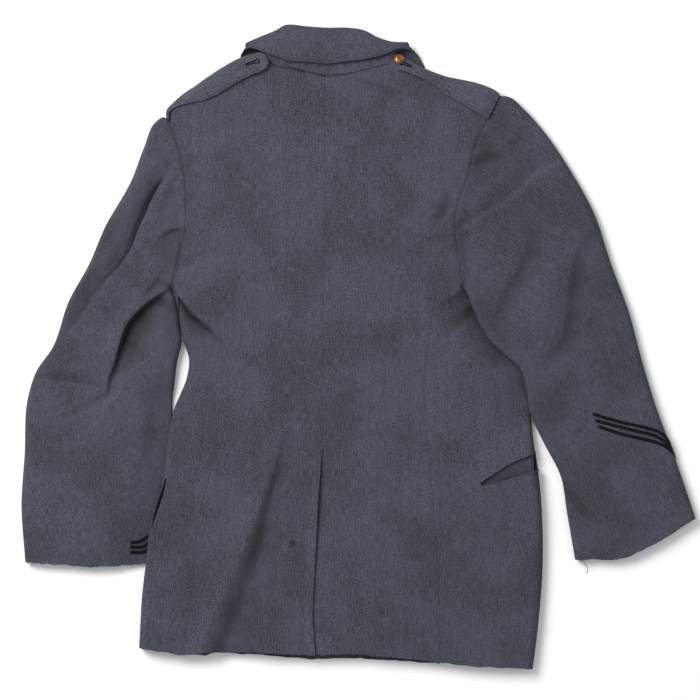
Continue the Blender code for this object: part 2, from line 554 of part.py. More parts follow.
def make_sleeves(halves, material):
    for half in halves:
        rows = SLEEVE_ROWS
        inner_line, outer_line = Chain([half.inner], (0, 1)), Chain([half.outer], (0, 1))
        width = np.linalg.norm(inner_line(rows) - outer_line(rows), axis=1)
        count, turn = len(half.arm_stations), len(TURN)
        across = np.empty((len(rows), count))
        for k, row in enumerate(rows):
            first, last = half.inner(row), half.outer(row)
            near = TURN * (first[3] - first[2]) / 2 / width[k]
            far = 1 - TURN[::-1] * (last[3] - last[2]) / 2 / width[k]
            across[k] = np.concatenate([near, np.linspace(near[-1], far[0], count - 2 * turn + 2)[1:-1], far])
            blend = 1 - fade(row / STATION_FADE)
            across[k] = blend * half.arm_stations + (1 - blend) * across[k]
        net = sleeve_net(half, across, rows)
        faces = {}
        share = (1 - fade(rows / SLEEVE_BLEND))[:, None]
        for side in (1, -1):
            height, out = half.sleeve.layer(net, side)
            body_height, body_out = BODY.layer(net[:1], side)
            height = share * body_height + (1 - share) * height
            out = share[..., None] * body_out + (1 - share[..., None]) * out
            out /= np.linalg.norm(out, axis=2)[..., None]
            outer = np.dstack([net, height])
            faces[side] = outer, outer - out * CLOTH
        seam_above, seam_below = SLEEVE_SEAMS[half.name]
        ring = [(1, j) for j in range(seam_above, count)] + [(-1, j) for j in range(count - 2, seam_below - 1, -1)]
        rest = [(-1, j) for j in range(seam_below, -1, -1)] + [(1, j) for j in range(1, seam_above + 1)]
        for cut, order in ((SLEEVE_CUTS[half.name][0], ring), (SLEEVE_CUTS[half.name][1], rest)):
            outer = np.stack([faces[side][0][:, j] for side, j in order], axis=1)
            inner = np.stack([faces[side][1][:, j] for side, j in order], axis=1)
            shrink(outer, inner, ("first column", "last column"))
            shrink(outer, inner, ("first row",), SEAM_GAP * HEAD_SEAM)
            wall(f"sleeve_{half.name}_{cut}", outer, inner, material)


def around(line, middle, share, arc, height):
    """A point of a ridge's turn, at an arc from the ridge (plus is above) and a height off the cloth, and its
    normal. The middle lies on the cloth's side of the ridge."""
    x, y, floor, roof = line(share)
    ahead = line(share + 0.01)[:2] - line(share - 0.01)[:2]
    inward = np.array([-ahead[1], ahead[0]]) / np.linalg.norm(ahead)
    inward *= np.sign((np.array(middle) - (x, y)) @ inward)
    radius, level = (roof - floor) / 2, (roof + floor) / 2
    angle = np.clip(arc / radius, -math.pi / 2, math.pi / 2)
    flat = abs(arc) - abs(angle) * radius
    plan = np.array([x, y]) + inward * (radius - (radius + height) * math.cos(angle) + flat)
    normal = np.append(-inward * math.cos(angle), math.sin(angle))
    return np.append(plan, level + (radius + height) * math.sin(angle)), normal


def spread(places, low, high):
    """The given places kept between two ends, with those past an end lined up just inside it."""
    order = np.arange(len(places))
    step = min(STRAP_LEAST_STEP, (high - low) / len(places))
    inside = np.minimum(places, high - step * order[::-1])
    return np.maximum(inside, low + step * order)


def make_straps(halves, material):
    """Each strap lies over the shoulder's ridge and has a round inner end."""
    for half in halves:
        table = np.array(LEFT_STRAP if half.name == "left" else RIGHT_STRAP, float)
        first, last = table[0, 0], table[-1, 0]
        body = np.append(first, STRAP_ROWS)
        tip = last - STRAP_END_ROUND * (1 - STRAP_TIP_ROWS)
        outer, inner = [], []
        for share in np.concatenate([body, tip]):
            back, front = (np.interp(share, table[:, 0], table[:, k]) for k in (1, 2))
            along = max(0.0, (share - last + STRAP_END_ROUND) / STRAP_END_ROUND)
            narrow = max(math.sqrt(1 - along ** 2), STRAP_TIP_WIDTH)
            middle, reach = (back - front) / 2, (back + front) / 2 * narrow
            arcs = spread(STRAP_ARCS, middle - reach, middle + reach)
            for face, height in ((outer, STRAP_GAP + CLOTH), (inner, STRAP_GAP)):
                face.append([around(half.shoulder, BODY_MIDDLE, share, arc, height)[0] for arc in arcs])
        wall(f"shoulder_strap_{half.name}", np.array(outer), np.array(inner), material)


def make_button(half, material):
    height = STRAP_GAP + CLOTH + LIE_GAP
    seat, up = around(half.shoulder, BODY_MIDDLE, BUTTON_SHARE, BUTTON_ARC, height)
    side = np.cross(up, (0, 0, 1))
    side /= np.linalg.norm(side)
    other = np.cross(up, side)
    points = [seat]
    for radius, height in BUTTON:
        for k in range(BUTTON_SIDES):
            angle = 2 * math.pi * k / BUTTON_SIDES
            points.append(seat + up * height + radius * (side * math.cos(angle) + other * math.sin(angle)))
    points.append(seat + up * (BUTTON[-1][1] + 0.1))
    faces = []
    for k in range(BUTTON_SIDES):
        n = (k + 1) % BUTTON_SIDES
        faces.append((0, 1 + k, 1 + n))
        for ring in range(len(BUTTON) - 1):
            low, high = 1 + ring * BUTTON_SIDES, 1 + (ring + 1) * BUTTON_SIDES
            faces.append((low + k, high + k, high + n, low + n))
        top = 1 + (len(BUTTON) - 1) * BUTTON_SIDES
        faces.append((top + k, len(points) - 1, top + n))
    make_object("button", points, faces, material)


def make_braid(halves, material):
    """Rows of braid lie on the upper layer of each sleeve, and those on the right one turn over its outer ridge."""
    dense = np.linspace(0, 1, 801)
    for half in halves:
        left = half.name == "left"
        gap = LEFT_BRAID_GAP if left else BRAID_GAP
        for number, rows in enumerate(LEFT_BRAID if left else RIGHT_BRAID, 1):
            plan = Line(rows)(np.linspace(0, 1, BRAID_COLUMNS))
            height, out = half.sleeve.layer(plan, 1)
            base = np.column_stack([plan, height])
            if not left:
                start = dense[np.linalg.norm(half.outer(dense)[:, :2] - plan[-1], axis=1).argmin()]
                for ahead, arc in BRAID_ROUND:
                    share = start + ahead / half.outer.length
                    point, normal = around(half.outer, half.middle, share, arc, 0)
                    base, out = np.vstack([base, point]), np.vstack([out, normal])
            across = np.cross(np.gradient(base, axis=0), out)
            across *= (BRAID_WIDTH / 2 / np.linalg.norm(across, axis=1))[:, None]
            inner = np.stack([base - across, base + across], axis=1) + out[:, None] * gap
            wall(f"braid_{half.name}_{number}", inner + out[:, None] * BRAID_THICK, inner, material)


def neck_row(half, layer, share):
    line = half.back_neck if layer == "back" else half.front_neck
    side = 1 if layer == "back" else -1
    plan = line(share)[None, :2]
    height, out = BODY.layer(plan, side)
    return np.append(plan[0], height[0]), out[0]


def make_collar(halves, material):
    """A stand round the neck seam, and a fall that rolls over the stand's top and hangs outside it."""
    named = {half.name: half for half in halves}
    seam = [neck_row(named[name], layer, share) for name, layer, share, _, _ in COLLAR]
    neck = np.array([point for point, _ in seam])
    leave = np.array([out for _, out in seam])
    roll = np.array([row[3] for row in COLLAR], float)
    edge = np.array([row[4] for row in COLLAR], float)
    along = np.gradient(roll, axis=0)

    def face_normal(span):
        normal = np.cross(along, span)
        normal /= np.linalg.norm(normal, axis=1)[:, None]
        return normal * np.sign((normal * leave).sum(1))[:, None]

    rise = roll - neck
    rise /= np.linalg.norm(rise, axis=1)[:, None]
    stand = face_normal(rise)
    shares = np.array(STAND_ROWS)[:, None, None]
    lean = np.append(np.array(NECK_CENTRE), 0) - neck
    lean *= (1 - np.abs(leave[:, 2]))[:, None] / np.linalg.norm(lean[:, :2], axis=1)[:, None]
    outer = neck + shares * (roll - neck) + STAND_LEAN * lean * (shares * (1 - shares) * 4)
    first = outer[1] - outer[0]
    outer[0] += first / np.linalg.norm(first, axis=1)[:, None] * STAND_SEAM_GAP
    normal = (1 - shares) * leave + shares * stand
    normal /= np.linalg.norm(normal, axis=2)[..., None]
    wall("collar_stand", outer, outer - normal * CLOTH, material)
    middle = roll + rise * SEAM_GAP * 1.5 + stand * ROLL_GAP / 2
    outer, inner = [], []
    for angle in np.radians(FALL_TURN):
        way = stand * math.sin(angle) + rise * math.cos(angle)
        outer.append(middle + way * (CLOTH + ROLL_GAP / 2))
        inner.append(middle + way * ROLL_GAP / 2)
    fall = face_normal(outer[-1] - edge)
    for share in (0.5, 1.0):
        outer.append(outer[3] + share * (edge - outer[3]))
        inner.append(outer[-1] - (stand * (1 - share) + fall * share) * CLOTH)
    wall("collar_fall", np.array(outer), np.array(inner), material)


def make_pockets(halves, material):
    """The facing that shows in each pocket's mouth, inside the side body."""
    for half in halves:
        rows, columns, sink = LEFT_FACING if half.name == "left" else RIGHT_FACING
        net = np.array([[(x, y) for x in columns] for y in rows], float)
        if half.name == "left":
            top, bottom = LEFT_MOUTH
            net[..., 0] -= LEFT_FACING_LEAN * np.clip((net[..., 1] - top) / (bottom - top), 0, 1)
        else:
            net[..., 1] += (net[..., 0] - columns[0]) * RIGHT_FACING_SLOPE
        height, _ = BODY.layer(net, 1)
        depth = CLOTH + LIE_GAP * 3 + np.linspace(0, 1, len(rows))[:, None] * sink
        outer = np.dstack([net, np.minimum(height, BODY_ROOF) - depth])
        inner = outer - (0, 0, CLOTH)
        wall(f"pocket_{half.name}_facing", outer, inner, material)


def principled(name, colour, roughness, metallic=0.0):
    material = bpy.data.materials.new(name)
    material.use_nodes = True
    shader = material.node_tree.nodes["Principled BSDF"]
    shader.inputs["Base Color"].default_value = (*colour, 1)
    shader.inputs["Roughness"].default_value = roughness
    shader.inputs["Metallic"].default_value = metallic
    material.diffuse_color = (*colour, 1)
    return material


def main():
    for thing in list(bpy.data.objects):
        bpy.data.objects.remove(thing)
    bpy.context.scene.collection.objects.link(bpy.data.objects.new("coat", None))
    wool = principled("grey blue twill", (0.07, 0.07, 0.09), 0.9)
    halves = [Side("left"), Side("right")]
    make_backs(halves, wool)
    make_fronts(halves, wool)
    make_sides(halves, wool)
    make_sleeves(halves, wool)
    make_straps(halves, principled("strap twill", (0.085, 0.085, 0.105), 0.9))
    make_collar(halves, wool)
    make_pockets(halves, principled("pocket facing", (0.05, 0.05, 0.06), 0.9))
    make_braid(halves, principled("black soutache braid", (0.006, 0.007, 0.009), 0.7))
    make_button(halves[1], principled("aged brass", (0.39, 0.2, 0.05), 0.35, 1.0))


main()
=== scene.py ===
"""The looks of a cadet dress coat that lies on its fronts, with its back up and its collar towards +Y.

Every panel is a thin shell of cloth on the form of its solid: the same seam lines, ridges and levels make a
fine net, and the creases and seams are added to it, with painted shade and light that follow its relief.
Tables are in millimetres, and meshes in metres. In a table that a Line reads, a row may leave out its last
values where they are those of the row before it.
"""

import math

import bpy
import numpy as np
from bpy.props import FloatProperty, FloatVectorProperty, IntProperty, PointerProperty
from bpy.types import Operator, Panel, PropertyGroup
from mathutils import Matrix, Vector
from mathutils.bvhtree import BVHTree


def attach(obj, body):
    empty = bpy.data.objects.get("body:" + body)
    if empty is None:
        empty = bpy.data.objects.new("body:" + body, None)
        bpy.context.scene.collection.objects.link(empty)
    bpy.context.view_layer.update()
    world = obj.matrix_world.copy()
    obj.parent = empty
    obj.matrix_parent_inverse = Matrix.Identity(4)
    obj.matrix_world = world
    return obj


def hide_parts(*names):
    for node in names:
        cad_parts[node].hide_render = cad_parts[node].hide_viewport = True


bl_info = {
    "name": "Cadet Dress Coat",
    "version": (1, 0, 0),
    "blender": (4, 5, 0),
    "location": "3D View > Sidebar > Coat",
    "description": "Cuts, creases and finishes a dress coat laid out with its back up",
    "category": "Object",
}

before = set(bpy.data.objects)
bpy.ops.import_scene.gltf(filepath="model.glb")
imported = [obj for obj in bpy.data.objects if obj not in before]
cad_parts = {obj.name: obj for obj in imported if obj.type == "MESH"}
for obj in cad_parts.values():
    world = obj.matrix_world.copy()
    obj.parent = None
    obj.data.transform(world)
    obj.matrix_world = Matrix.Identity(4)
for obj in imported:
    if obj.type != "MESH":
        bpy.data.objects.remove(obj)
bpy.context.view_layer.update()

MM = 0.001
CLOTH = 2.0
SEAM_GAP = 0.3
LIE_GAP = 0.3
BODY_ROOF = 20.0
SLEEVE_ROOF = 16.0
SHOULDER_FLOOR = 3.8

# Seam lines and edges: x, y
CENTRE_SEAM = ((-44, 354), (-44, 192), (-46, 60), (-48, -130))
VENT_EDGE = ((-48, -130), (-53, -198), (-57, -276), (-60, -350), (-57, -399))
LEFT_SIDE_SEAM = (
    (-233, 124), (-200, 91), (-187, 52), (-178, 4), (-178, -61), (-190, -146), (-207, -224), (-218, -315),
    (-227, -399)
)
RIGHT_SIDE_SEAM = (
    (126, 140), (114, 118), (103, 82), (94, 36), (88, -29), (87, -94), (92, -146), (99, -237), (103, -290),
    (105, -408)
)
LEFT_ARMHOLE = (
    (-244, 79), (-239, 99), (-233, 124), (-226, 156), (-225, 186), (-226, 212), (-230, 244), (-238, 270),
    (-247, 296)
)
RIGHT_ARMHOLE = (
    (136, 78), (131, 108), (126, 140), (124, 160), (126, 179), (139, 218), (151, 264), (166, 296),
    (183, 328)
)
BACK_NECK_LEFT = ((-122, 385), (-114, 370), (-94, 364.5), (-69, 359), (-44, 354))
BACK_NECK_RIGHT = ((-44, 354), (-20, 355), (3, 360), (27, 366), (40, 370), (45, 381))
FRONT_NECK_LEFT = ((-122, 385), (-116, 366), (-98, 338), (-50, 314), (-10, 312))
FRONT_NECK_RIGHT = ((-10, 318), (20, 338), (38, 364), (45, 381))
HEM = (
    (-286, -390), (-259, -394), (-227, -399), (-190, -395), (-142, -395), (-57, -399), (-12, -397),
    (53, -402), (105, -408), (144, -413), (226, -417)
)
FRONT_EDGE = ((-10, 312), (-10, -402))
FRONT_OVERLAP = 60.0

# Ridges, where a tube turns over: x, y, floor, roof
LEFT_SHOULDER = ((-247, 296, 3.8, 20), (-246, 307), (-236, 319), (-208, 340), (-158, 371), (-122, 385))
RIGHT_SHOULDER = ((183, 328, 3.8, 20), (164, 337), (105, 352), (79, 362), (45, 381))
LEFT_SIDE = (
    (-244, 79, 0, 20), (-237, 60), (-232, 25), (-229, 11), (-221, -16), (-224, -39), (-233, -62, 3.8),
    (-240, -78, 7), (-246, -107), (-255, -172), (-272, -233, 9.5), (-277, -280), (-281, -312, 0),
    (-286, -390)
)
RIGHT_SIDE = (
    (136, 78, 0, 20), (143, 67, 0, 10), (152, 55, 0, 6), (172, 28), (203, -10), (216, -32), (222, -62),
    (224, -91, 0, 10), (228, -133, 0, 20), (236.5, -198), (239, -276), (233, -360), (226, -417)
)
LEFT_SLEEVE_INNER = (
    (-244, 79, 0, 20), (-238, 60, 0, 18), (-233, 30, 0, 16), (-231, 4), (-236, -16), (-240, -47, 0, 12),
    (-243, -70, 0, 6), (-243, -107), (-251, -172), (-267, -233), (-272, -280)
)
LEFT_SLEEVE_OUTER = (
    (-247, 296, 3.8, 20), (-254, 300, 3, 19), (-265, 293, 1.6, 18), (-279, 262, 0, 16), (-296, 218),
    (-331, 156), (-351, 109), (-377, 62), (-399, 0), (-420, -31), (-430, -62), (-435, -140), (-439, -203),
    (-434, -278.5)
)
RIGHT_SLEEVE_INNER = (
    (136, 78, 0, 20), (142, 66, 5), (149, 49, 7, 19), (157, 30, 7, 18), (170, 10), (185, -5), (209, -27),
    (217, -48), (222, -84), (239, -121, 3, 16), (263, -169, 0), (270, -211), (281, -276)
)
RIGHT_SLEEVE_OUTER = (
    (183, 328, 3.8, 20), (196, 326, 3, 19), (213, 312, 1.6, 18), (240, 282, 0, 16), (273, 234), (307, 172),
    (328, 109), (351, 47), (368, -16), (387, -78), (410, -140), (438, -222)
)
LEFT_CUFF = ((-272, -280), (-343, -283.5), (-402, -280), (-434, -278.5))
RIGHT_CUFF = ((281, -276), (313, -274), (337, -274), (385, -254), (438, -222))

REACH = 55.0
STRAP_HOLD = 34.0
NECK_CENTRE = (-40.0, 368.0)
NECK_FLOOR_RADIUS, NECK_FLOOR_FADE = 115.0, 45.0
BODY_MIDDLE, LEFT_SLEEVE_MIDDLE, RIGHT_SLEEVE_MIDDLE = (-30, 0), (-340, 30), (250, 50)

VENT_UNDERLAP, VENT_DROP, VENT_EASE = 32.0, 1.5, 12.0
VENT_STEP_START, VENT_STEP_END = 1.0, 9.0
FRONT_OVERLAP_LIFT = CLOTH + 4 * LIE_GAP
FRONT_STEP_START, FRONT_STEP_END = 1.5, 12.0
FRONT_HEM = (
    (-286, 0.5), (-215, 1), (-200, 4), (-190, 1), (-110, 2), (-60, 3), (-30, 1), (60, 3), (150, 3),
    (226, 0.5)
)

# Shoulder straps: share of the shoulder from its sleeve end, reach on the back, reach on the front
LEFT_STRAP = (
    (0.02, 6.6, 30), (0.09, 8, 30), (0.17, 11.5, 28), (0.27, 18.5, 26), (0.37, 24.5, 22), (0.45, 27, 18),
    (0.57, 28.3, 13), (0.7, 28.3, 6), (0.83, 27.5, 1), (0.9, 27.5, -3), (1.0, 27, -4.5)
)
RIGHT_STRAP = (
    (0.02, 39, 12), (0.2, 37, 12), (0.32, 32, 13), (0.44, 26.5, 15), (0.56, 18.5, 17), (0.67, 14.8, 8),
    (0.81, 15.5, 3), (0.9, 19.5, 1), (1.0, 20, 0)
)
STRAP_END_ROUND, STRAP_GAP = 0.08, 1.7
BUTTON_SHARE, BUTTON_ARC = 0.938, 9.2

# Braid, a row at a time: x, y of its middle. On the right sleeve a row goes on round the outer ridge, at
# these distances along it and arcs from it.
LEFT_BRAID = (
    ((-297.4, -252.6), (-285.9, -251.8), (-278, -247.3), (-273.2, -243.3)),
    ((-297.4, -258.6), (-285.9, -259.1), (-279, -257.2), (-273.2, -252.2)),
    ((-297.1, -265.5), (-284, -265.7), (-278, -264.2), (-273.2, -260.6)),
)
RIGHT_BRAID = (
    ((304.2, -85.8), (339.7, -96.2), (372.6, -103.6), (387.1, -108), (396.2, -113.5), (401, -119.5)),
    ((306.8, -94), (330.6, -100.3), (357.9, -107.3), (385.3, -114.5), (394.4, -119.4), (402.3, -126)),
    ((310.6, -101.8), (339.7, -111.4), (367.1, -117.8), (385.3, -122.4), (400, -129), (406.6, -134.6)),
)
BRAID_ROUND = ((6, 0), (13, -6))
BRAID_WIDTH, BRAID_THICK = 4.2, 1.4

# Collar, from its left front end round the back to its right front end: the neck seam it stands on, the
# share of that seam from the shoulder, the roll's place and the fall's edge
COLLAR = (
    ("left", "front", 0.72, (-58, 345, 4), (-72, 306, 0.3)),
    ("left", "front", 0.50, (-78, 353, 4), (-110, 322, 0.3)),
    ("left", "front", 0.30, (-98, 374, 4), (-140, 350, 0.3)),
    ("left", "front", 0.12, (-117, 395, 6), (-153, 374, 1)),
    ("left", "back", 0.00, (-145, 394.5, 11), (-152, 384, 8)),
    ("left", "back", 0.12, (-132, 400, 16), (-142, 390, 19)),
    ("left", "back", 0.25, (-112, 408, 18), (-115, 381, 25)),
    ("left", "back", 0.50, (-93, 417, 18), (-90, 373, 25)),
    ("left", "back", 0.75, (-66, 415, 18), (-64, 371, 25)),
    ("left", "back", 1.00, (-42, 413.5, 18), (-42, 369, 25)),
    ("right", "back", 0.75, (-16, 413.5, 18), (-16, 372, 25)),
    ("right", "back", 0.50, (6, 410, 18), (8, 375, 25)),
    ("right", "back", 0.25, (28, 399, 18), (33, 381, 25)),
    ("right", "back", 0.12, (43, 395, 16), (55, 389, 20)),
    ("right", "back", 0.00, (62, 394.5, 12), (76, 382, 7)),
    ("right", "front", 0.06, (56, 391, 8), (82, 372, 2)),
    ("right", "front", 0.12, (44, 388, 5.5), (85, 364, 0.6)),
    ("right", "front", 0.30, (22, 374, 3.6), (62, 338, 0.3)),
    ("right", "front", 0.50, (2, 356, 4), (36, 316, 0.3)),
    ("right", "front", 0.72, (-14, 346, 4), (4, 302, 0.3)),
)
ROLL_GAP, STAND_LEAN = 0.6, 5.0

LEFT_MOUTH = (-169, -230)
RIGHT_UPPER_LIP = (
    (100, -175), (157, -175), (177, -162), (192, -152), (209, -144), (229, -137), (240, -134)
)
RIGHT_LOWER_LIP = ((100, -180), (158, -178), (179, -174), (209, -165), (234, -155), (240, -153))

def linear(code):
    """An sRGB hex value as linear red, green and blue."""
    values = [int(code[k:k + 2], 16) / 255 for k in (1, 3, 5)]
    return tuple(v / 12.92 if v <= 0.04045 else ((v + 0.055) / 1.055) ** 2.4 for v in values)


def fade(x):
    """A smooth step from 0 to 1."""
    x = np.clip(x, 0, 1)
    return x * x * (3 - 2 * x)


def unit(vectors):
    return vectors / np.maximum(np.linalg.norm(vectors, axis=-1, keepdims=True), 1e-9)


def distances(points):
    """How far along its line each point lies. Lines run down the first axis."""
    steps = np.linalg.norm(np.diff(points, axis=0), axis=-1)
    return np.concatenate([np.zeros_like(steps[:1]), np.cumsum(steps, axis=0)])


def filled(rows):
    """A table's rows with the values that they leave out."""
    full = []
    for row in rows:
        full.append(tuple(row) + (full[-1][len(row):] if full else ()))
    return full


class Line:
    """A smooth line through a table's rows, read by its share of length from 0 to 1."""

    def __init__(self, rows):
        self.rows = np.array(filled(rows), float)
        self.at = distances(self.rows[:, :2])
        self.length = self.at[-1]
        self.at /= self.length
        gaps = np.diff(self.at)[:, None]
        slopes = np.diff(self.rows, axis=0) / gaps
        inner = (slopes[:-1] * gaps[1:] + slopes[1:] * gaps[:-1]) / (gaps[:-1] + gaps[1:])
        self.slopes = np.vstack([slopes[:1], inner, slopes[-1:]])

    def __call__(self, share):
        share = np.clip(np.asarray(share, float), 0, 1)
        k = np.clip(np.searchsorted(self.at, share, side="right") - 1, 0, len(self.at) - 2)
        gap = self.at[k + 1] - self.at[k]
        s = (share - self.at[k]) / gap
        a, b = (1 + 2 * s) * (1 - s) ** 2, s * (1 - s) ** 2 * gap
        c, d = s * s * (3 - 2 * s), s * s * (s - 1) * gap
        return (a[..., None] * self.rows[k] + b[..., None] * self.slopes[k]
                + c[..., None] * self.rows[k + 1] + d[..., None] * self.slopes[k + 1])


class Chain:
    """Several lines read as one, with the shares at which one gives way to the next."""

    def __init__(self, lines, knots):
        self.lines, self.knots = lines, knots

    def __call__(self, share):
        share = np.atleast_1d(np.asarray(share, float))
        out = np.empty((len(share), 2))
        for line, low, high in zip(self.lines, self.knots[:-1], self.knots[1:]):
            here = (share >= low) & ((share < high) | (high == self.knots[-1]))
            out[here] = line((share[here] - low) / (high - low))[:, :2]
        return out


def stretch(line, start, end):
    """The part of a line between two of its shares, which may run backwards."""
    return lambda share: line(start + (end - start) * np.asarray(share))[..., :2]


def nearest(samples, plan):
    """For each point of an (n, 2) array, the distance and offset to a sampled line, the piece of it and the
    share of that piece where its nearest point is."""
    start, step = samples[:-1, :2], np.diff(samples[:, :2], axis=0)
    away = np.full(len(plan), np.inf)
    piece, share = np.zeros(len(plan), int), np.zeros(len(plan))
    for k in range(len(start)):
        along = np.clip((plan - start[k]) @ step[k] / (step[k] @ step[k]), 0, 1)
        apart = np.hypot(*(plan - start[k] - along[:, None] * step[k]).T)
        closer = apart < away
        away[closer], piece[closer], share[closer] = apart[closer], k, along[closer]
    foot = start[piece] + share[:, None] * step[piece]
    return away, foot - plan, piece, share


class Ridge:
    """The turn between a tube's two layers, with its own floor and roof."""

    def __init__(self, rows, middle, hold=0.0):
        self.hold = hold
        self.samples = Line(rows)(np.linspace(0, 1, 121))
        step = np.diff(self.samples[:, :2], axis=0)
        across = unit(np.column_stack([-step[:, 1], step[:, 0]]))
        side = np.sign(((self.samples[:-1, :2] - middle) * across).sum(1))
        self.outward = across * side[:, None]

    def levels(self, plan):
        """Distance, direction out of the cloth, floor and roof for each point of an (n, 2) array."""
        away, offset, k, near = nearest(self.samples, plan)
        levels = self.samples[k, 2:4] + near[:, None] * (self.samples[k + 1, 2:4] - self.samples[k, 2:4])
        out = offset / np.maximum(away, 1e-9)[:, None]
        out[away < 0.05] = self.outward[k[away < 0.05]]
        return away, out, levels[:, 0], levels[:, 1]


class Tube:
    """Two layers of cloth that turn into each other at their ridges."""

    def __init__(self, ridges, roof, floor=None):
        self.ridges, self.roof, self.floor = ridges, roof, floor

    def layer(self, plan, side):
        """Heights and outward directions of the outer face: side is 1 for the upper layer and -1 for the
        lower."""
        shape = plan.shape[:-1]
        plan = plan.reshape(-1, 2)
        level = np.full(len(plan), self.roof if side > 0 else 0.0)
        if side < 0 and self.floor:
            level = self.floor(plan)
        drop = np.zeros(len(plan))
        out = np.tile([0.0, 0.0, float(side)], (len(plan), 1))
        for ridge in self.ridges:
            away, across, floor, roof = ridge.levels(plan)
            own = roof if side > 0 else floor
            change = (own - (self.roof if side > 0 else 0.0)) * (1 - fade((away - ridge.hold) / REACH))
            level = level + change if side > 0 else np.maximum(level, change)
            radius = (roof - floor) / 2
            inward = np.clip(1 - away / radius, 0, 1)
            rise = radius * (1 - np.sqrt(1 - inward ** 2))
            turned = rise > drop
            drop = np.maximum(drop, rise)
            tilt = np.column_stack([across * inward[:, None], side * np.sqrt(1 - inward ** 2)])
            out[turned] = tilt[turned]
        return (level - side * drop).reshape(shape), out.reshape(shape + (3,))


def neck_floor(plan):
    away = np.linalg.norm(plan - NECK_CENTRE, axis=1)
    return SHOULDER_FLOOR * (1 - fade((away - NECK_FLOOR_RADIUS) / NECK_FLOOR_FADE))


BODY = Tube([Ridge(rows, BODY_MIDDLE, hold) for rows, hold in (
    (LEFT_SHOULDER, STRAP_HOLD), (RIGHT_SHOULDER, STRAP_HOLD), (LEFT_SIDE, 0.0), (RIGHT_SIDE, 0.0))],
    BODY_ROOF, neck_floor)


def patch(left, right, top, bottom, across, down):
    """A smooth net between four edges: across and down hold the shares of its columns, per row, and of its
    rows."""
    across = np.broadcast_to(across, (len(down), np.shape(across)[-1]))
    net = np.empty(across.shape + (2,))
    corners = [edge(np.array([share]))[0] for edge in (top, bottom) for share in (0.0, 1.0)]
    lefts, rights = left(np.asarray(down)), right(np.asarray(down))
    for k, v in enumerate(down):
        u = across[k][:, None]
        net[k] = ((1 - u) * lefts[k] + u * rights[k] + (1 - v) * top(across[k]) + v * bottom(across[k])
                  - (1 - v) * ((1 - u) * corners[0] + u * corners[1])
                  - v * ((1 - u) * corners[2] + u * corners[3]))
    return net


def hem_line(start, end):
    """The hem between two places along X."""
    table = np.array(HEM, float)

    def at(share):
        x = start + (end - start) * np.asarray(share)
        return np.column_stack([x, np.interp(x, table[:, 0], table[:, 1])])

    return at


class Side:
    """The seam lines and ridges of the coat's left or right half."""

    def __init__(self, name):
        self.name = name
        lines = {
            "left": (LEFT_ARMHOLE, LEFT_SHOULDER, LEFT_SIDE, LEFT_SIDE_SEAM, BACK_NECK_LEFT, FRONT_NECK_LEFT,
                     LEFT_SLEEVE_INNER, LEFT_SLEEVE_OUTER, LEFT_CUFF),
            "right": (RIGHT_ARMHOLE, RIGHT_SHOULDER, RIGHT_SIDE, RIGHT_SIDE_SEAM, BACK_NECK_RIGHT[::-1],
                      FRONT_NECK_RIGHT[::-1], RIGHT_SLEEVE_INNER, RIGHT_SLEEVE_OUTER, RIGHT_CUFF),
        }[name]
        (self.armhole, self.shoulder, self.ridge, self.seam, self.back_neck, self.front_neck, self.inner,
         self.outer, self.cuff) = map(Line, lines)
        self.join = float(self.armhole.at[2])
        self.middle, self.strap, self.braid = {
            "left": (LEFT_SLEEVE_MIDDLE, LEFT_STRAP, LEFT_BRAID),
            "right": (RIGHT_SLEEVE_MIDDLE, RIGHT_STRAP, RIGHT_BRAID),
        }[name]
        self.sleeve = Tube([Ridge(line.rows, self.middle) for line in (self.inner, self.outer)], SLEEVE_ROOF)

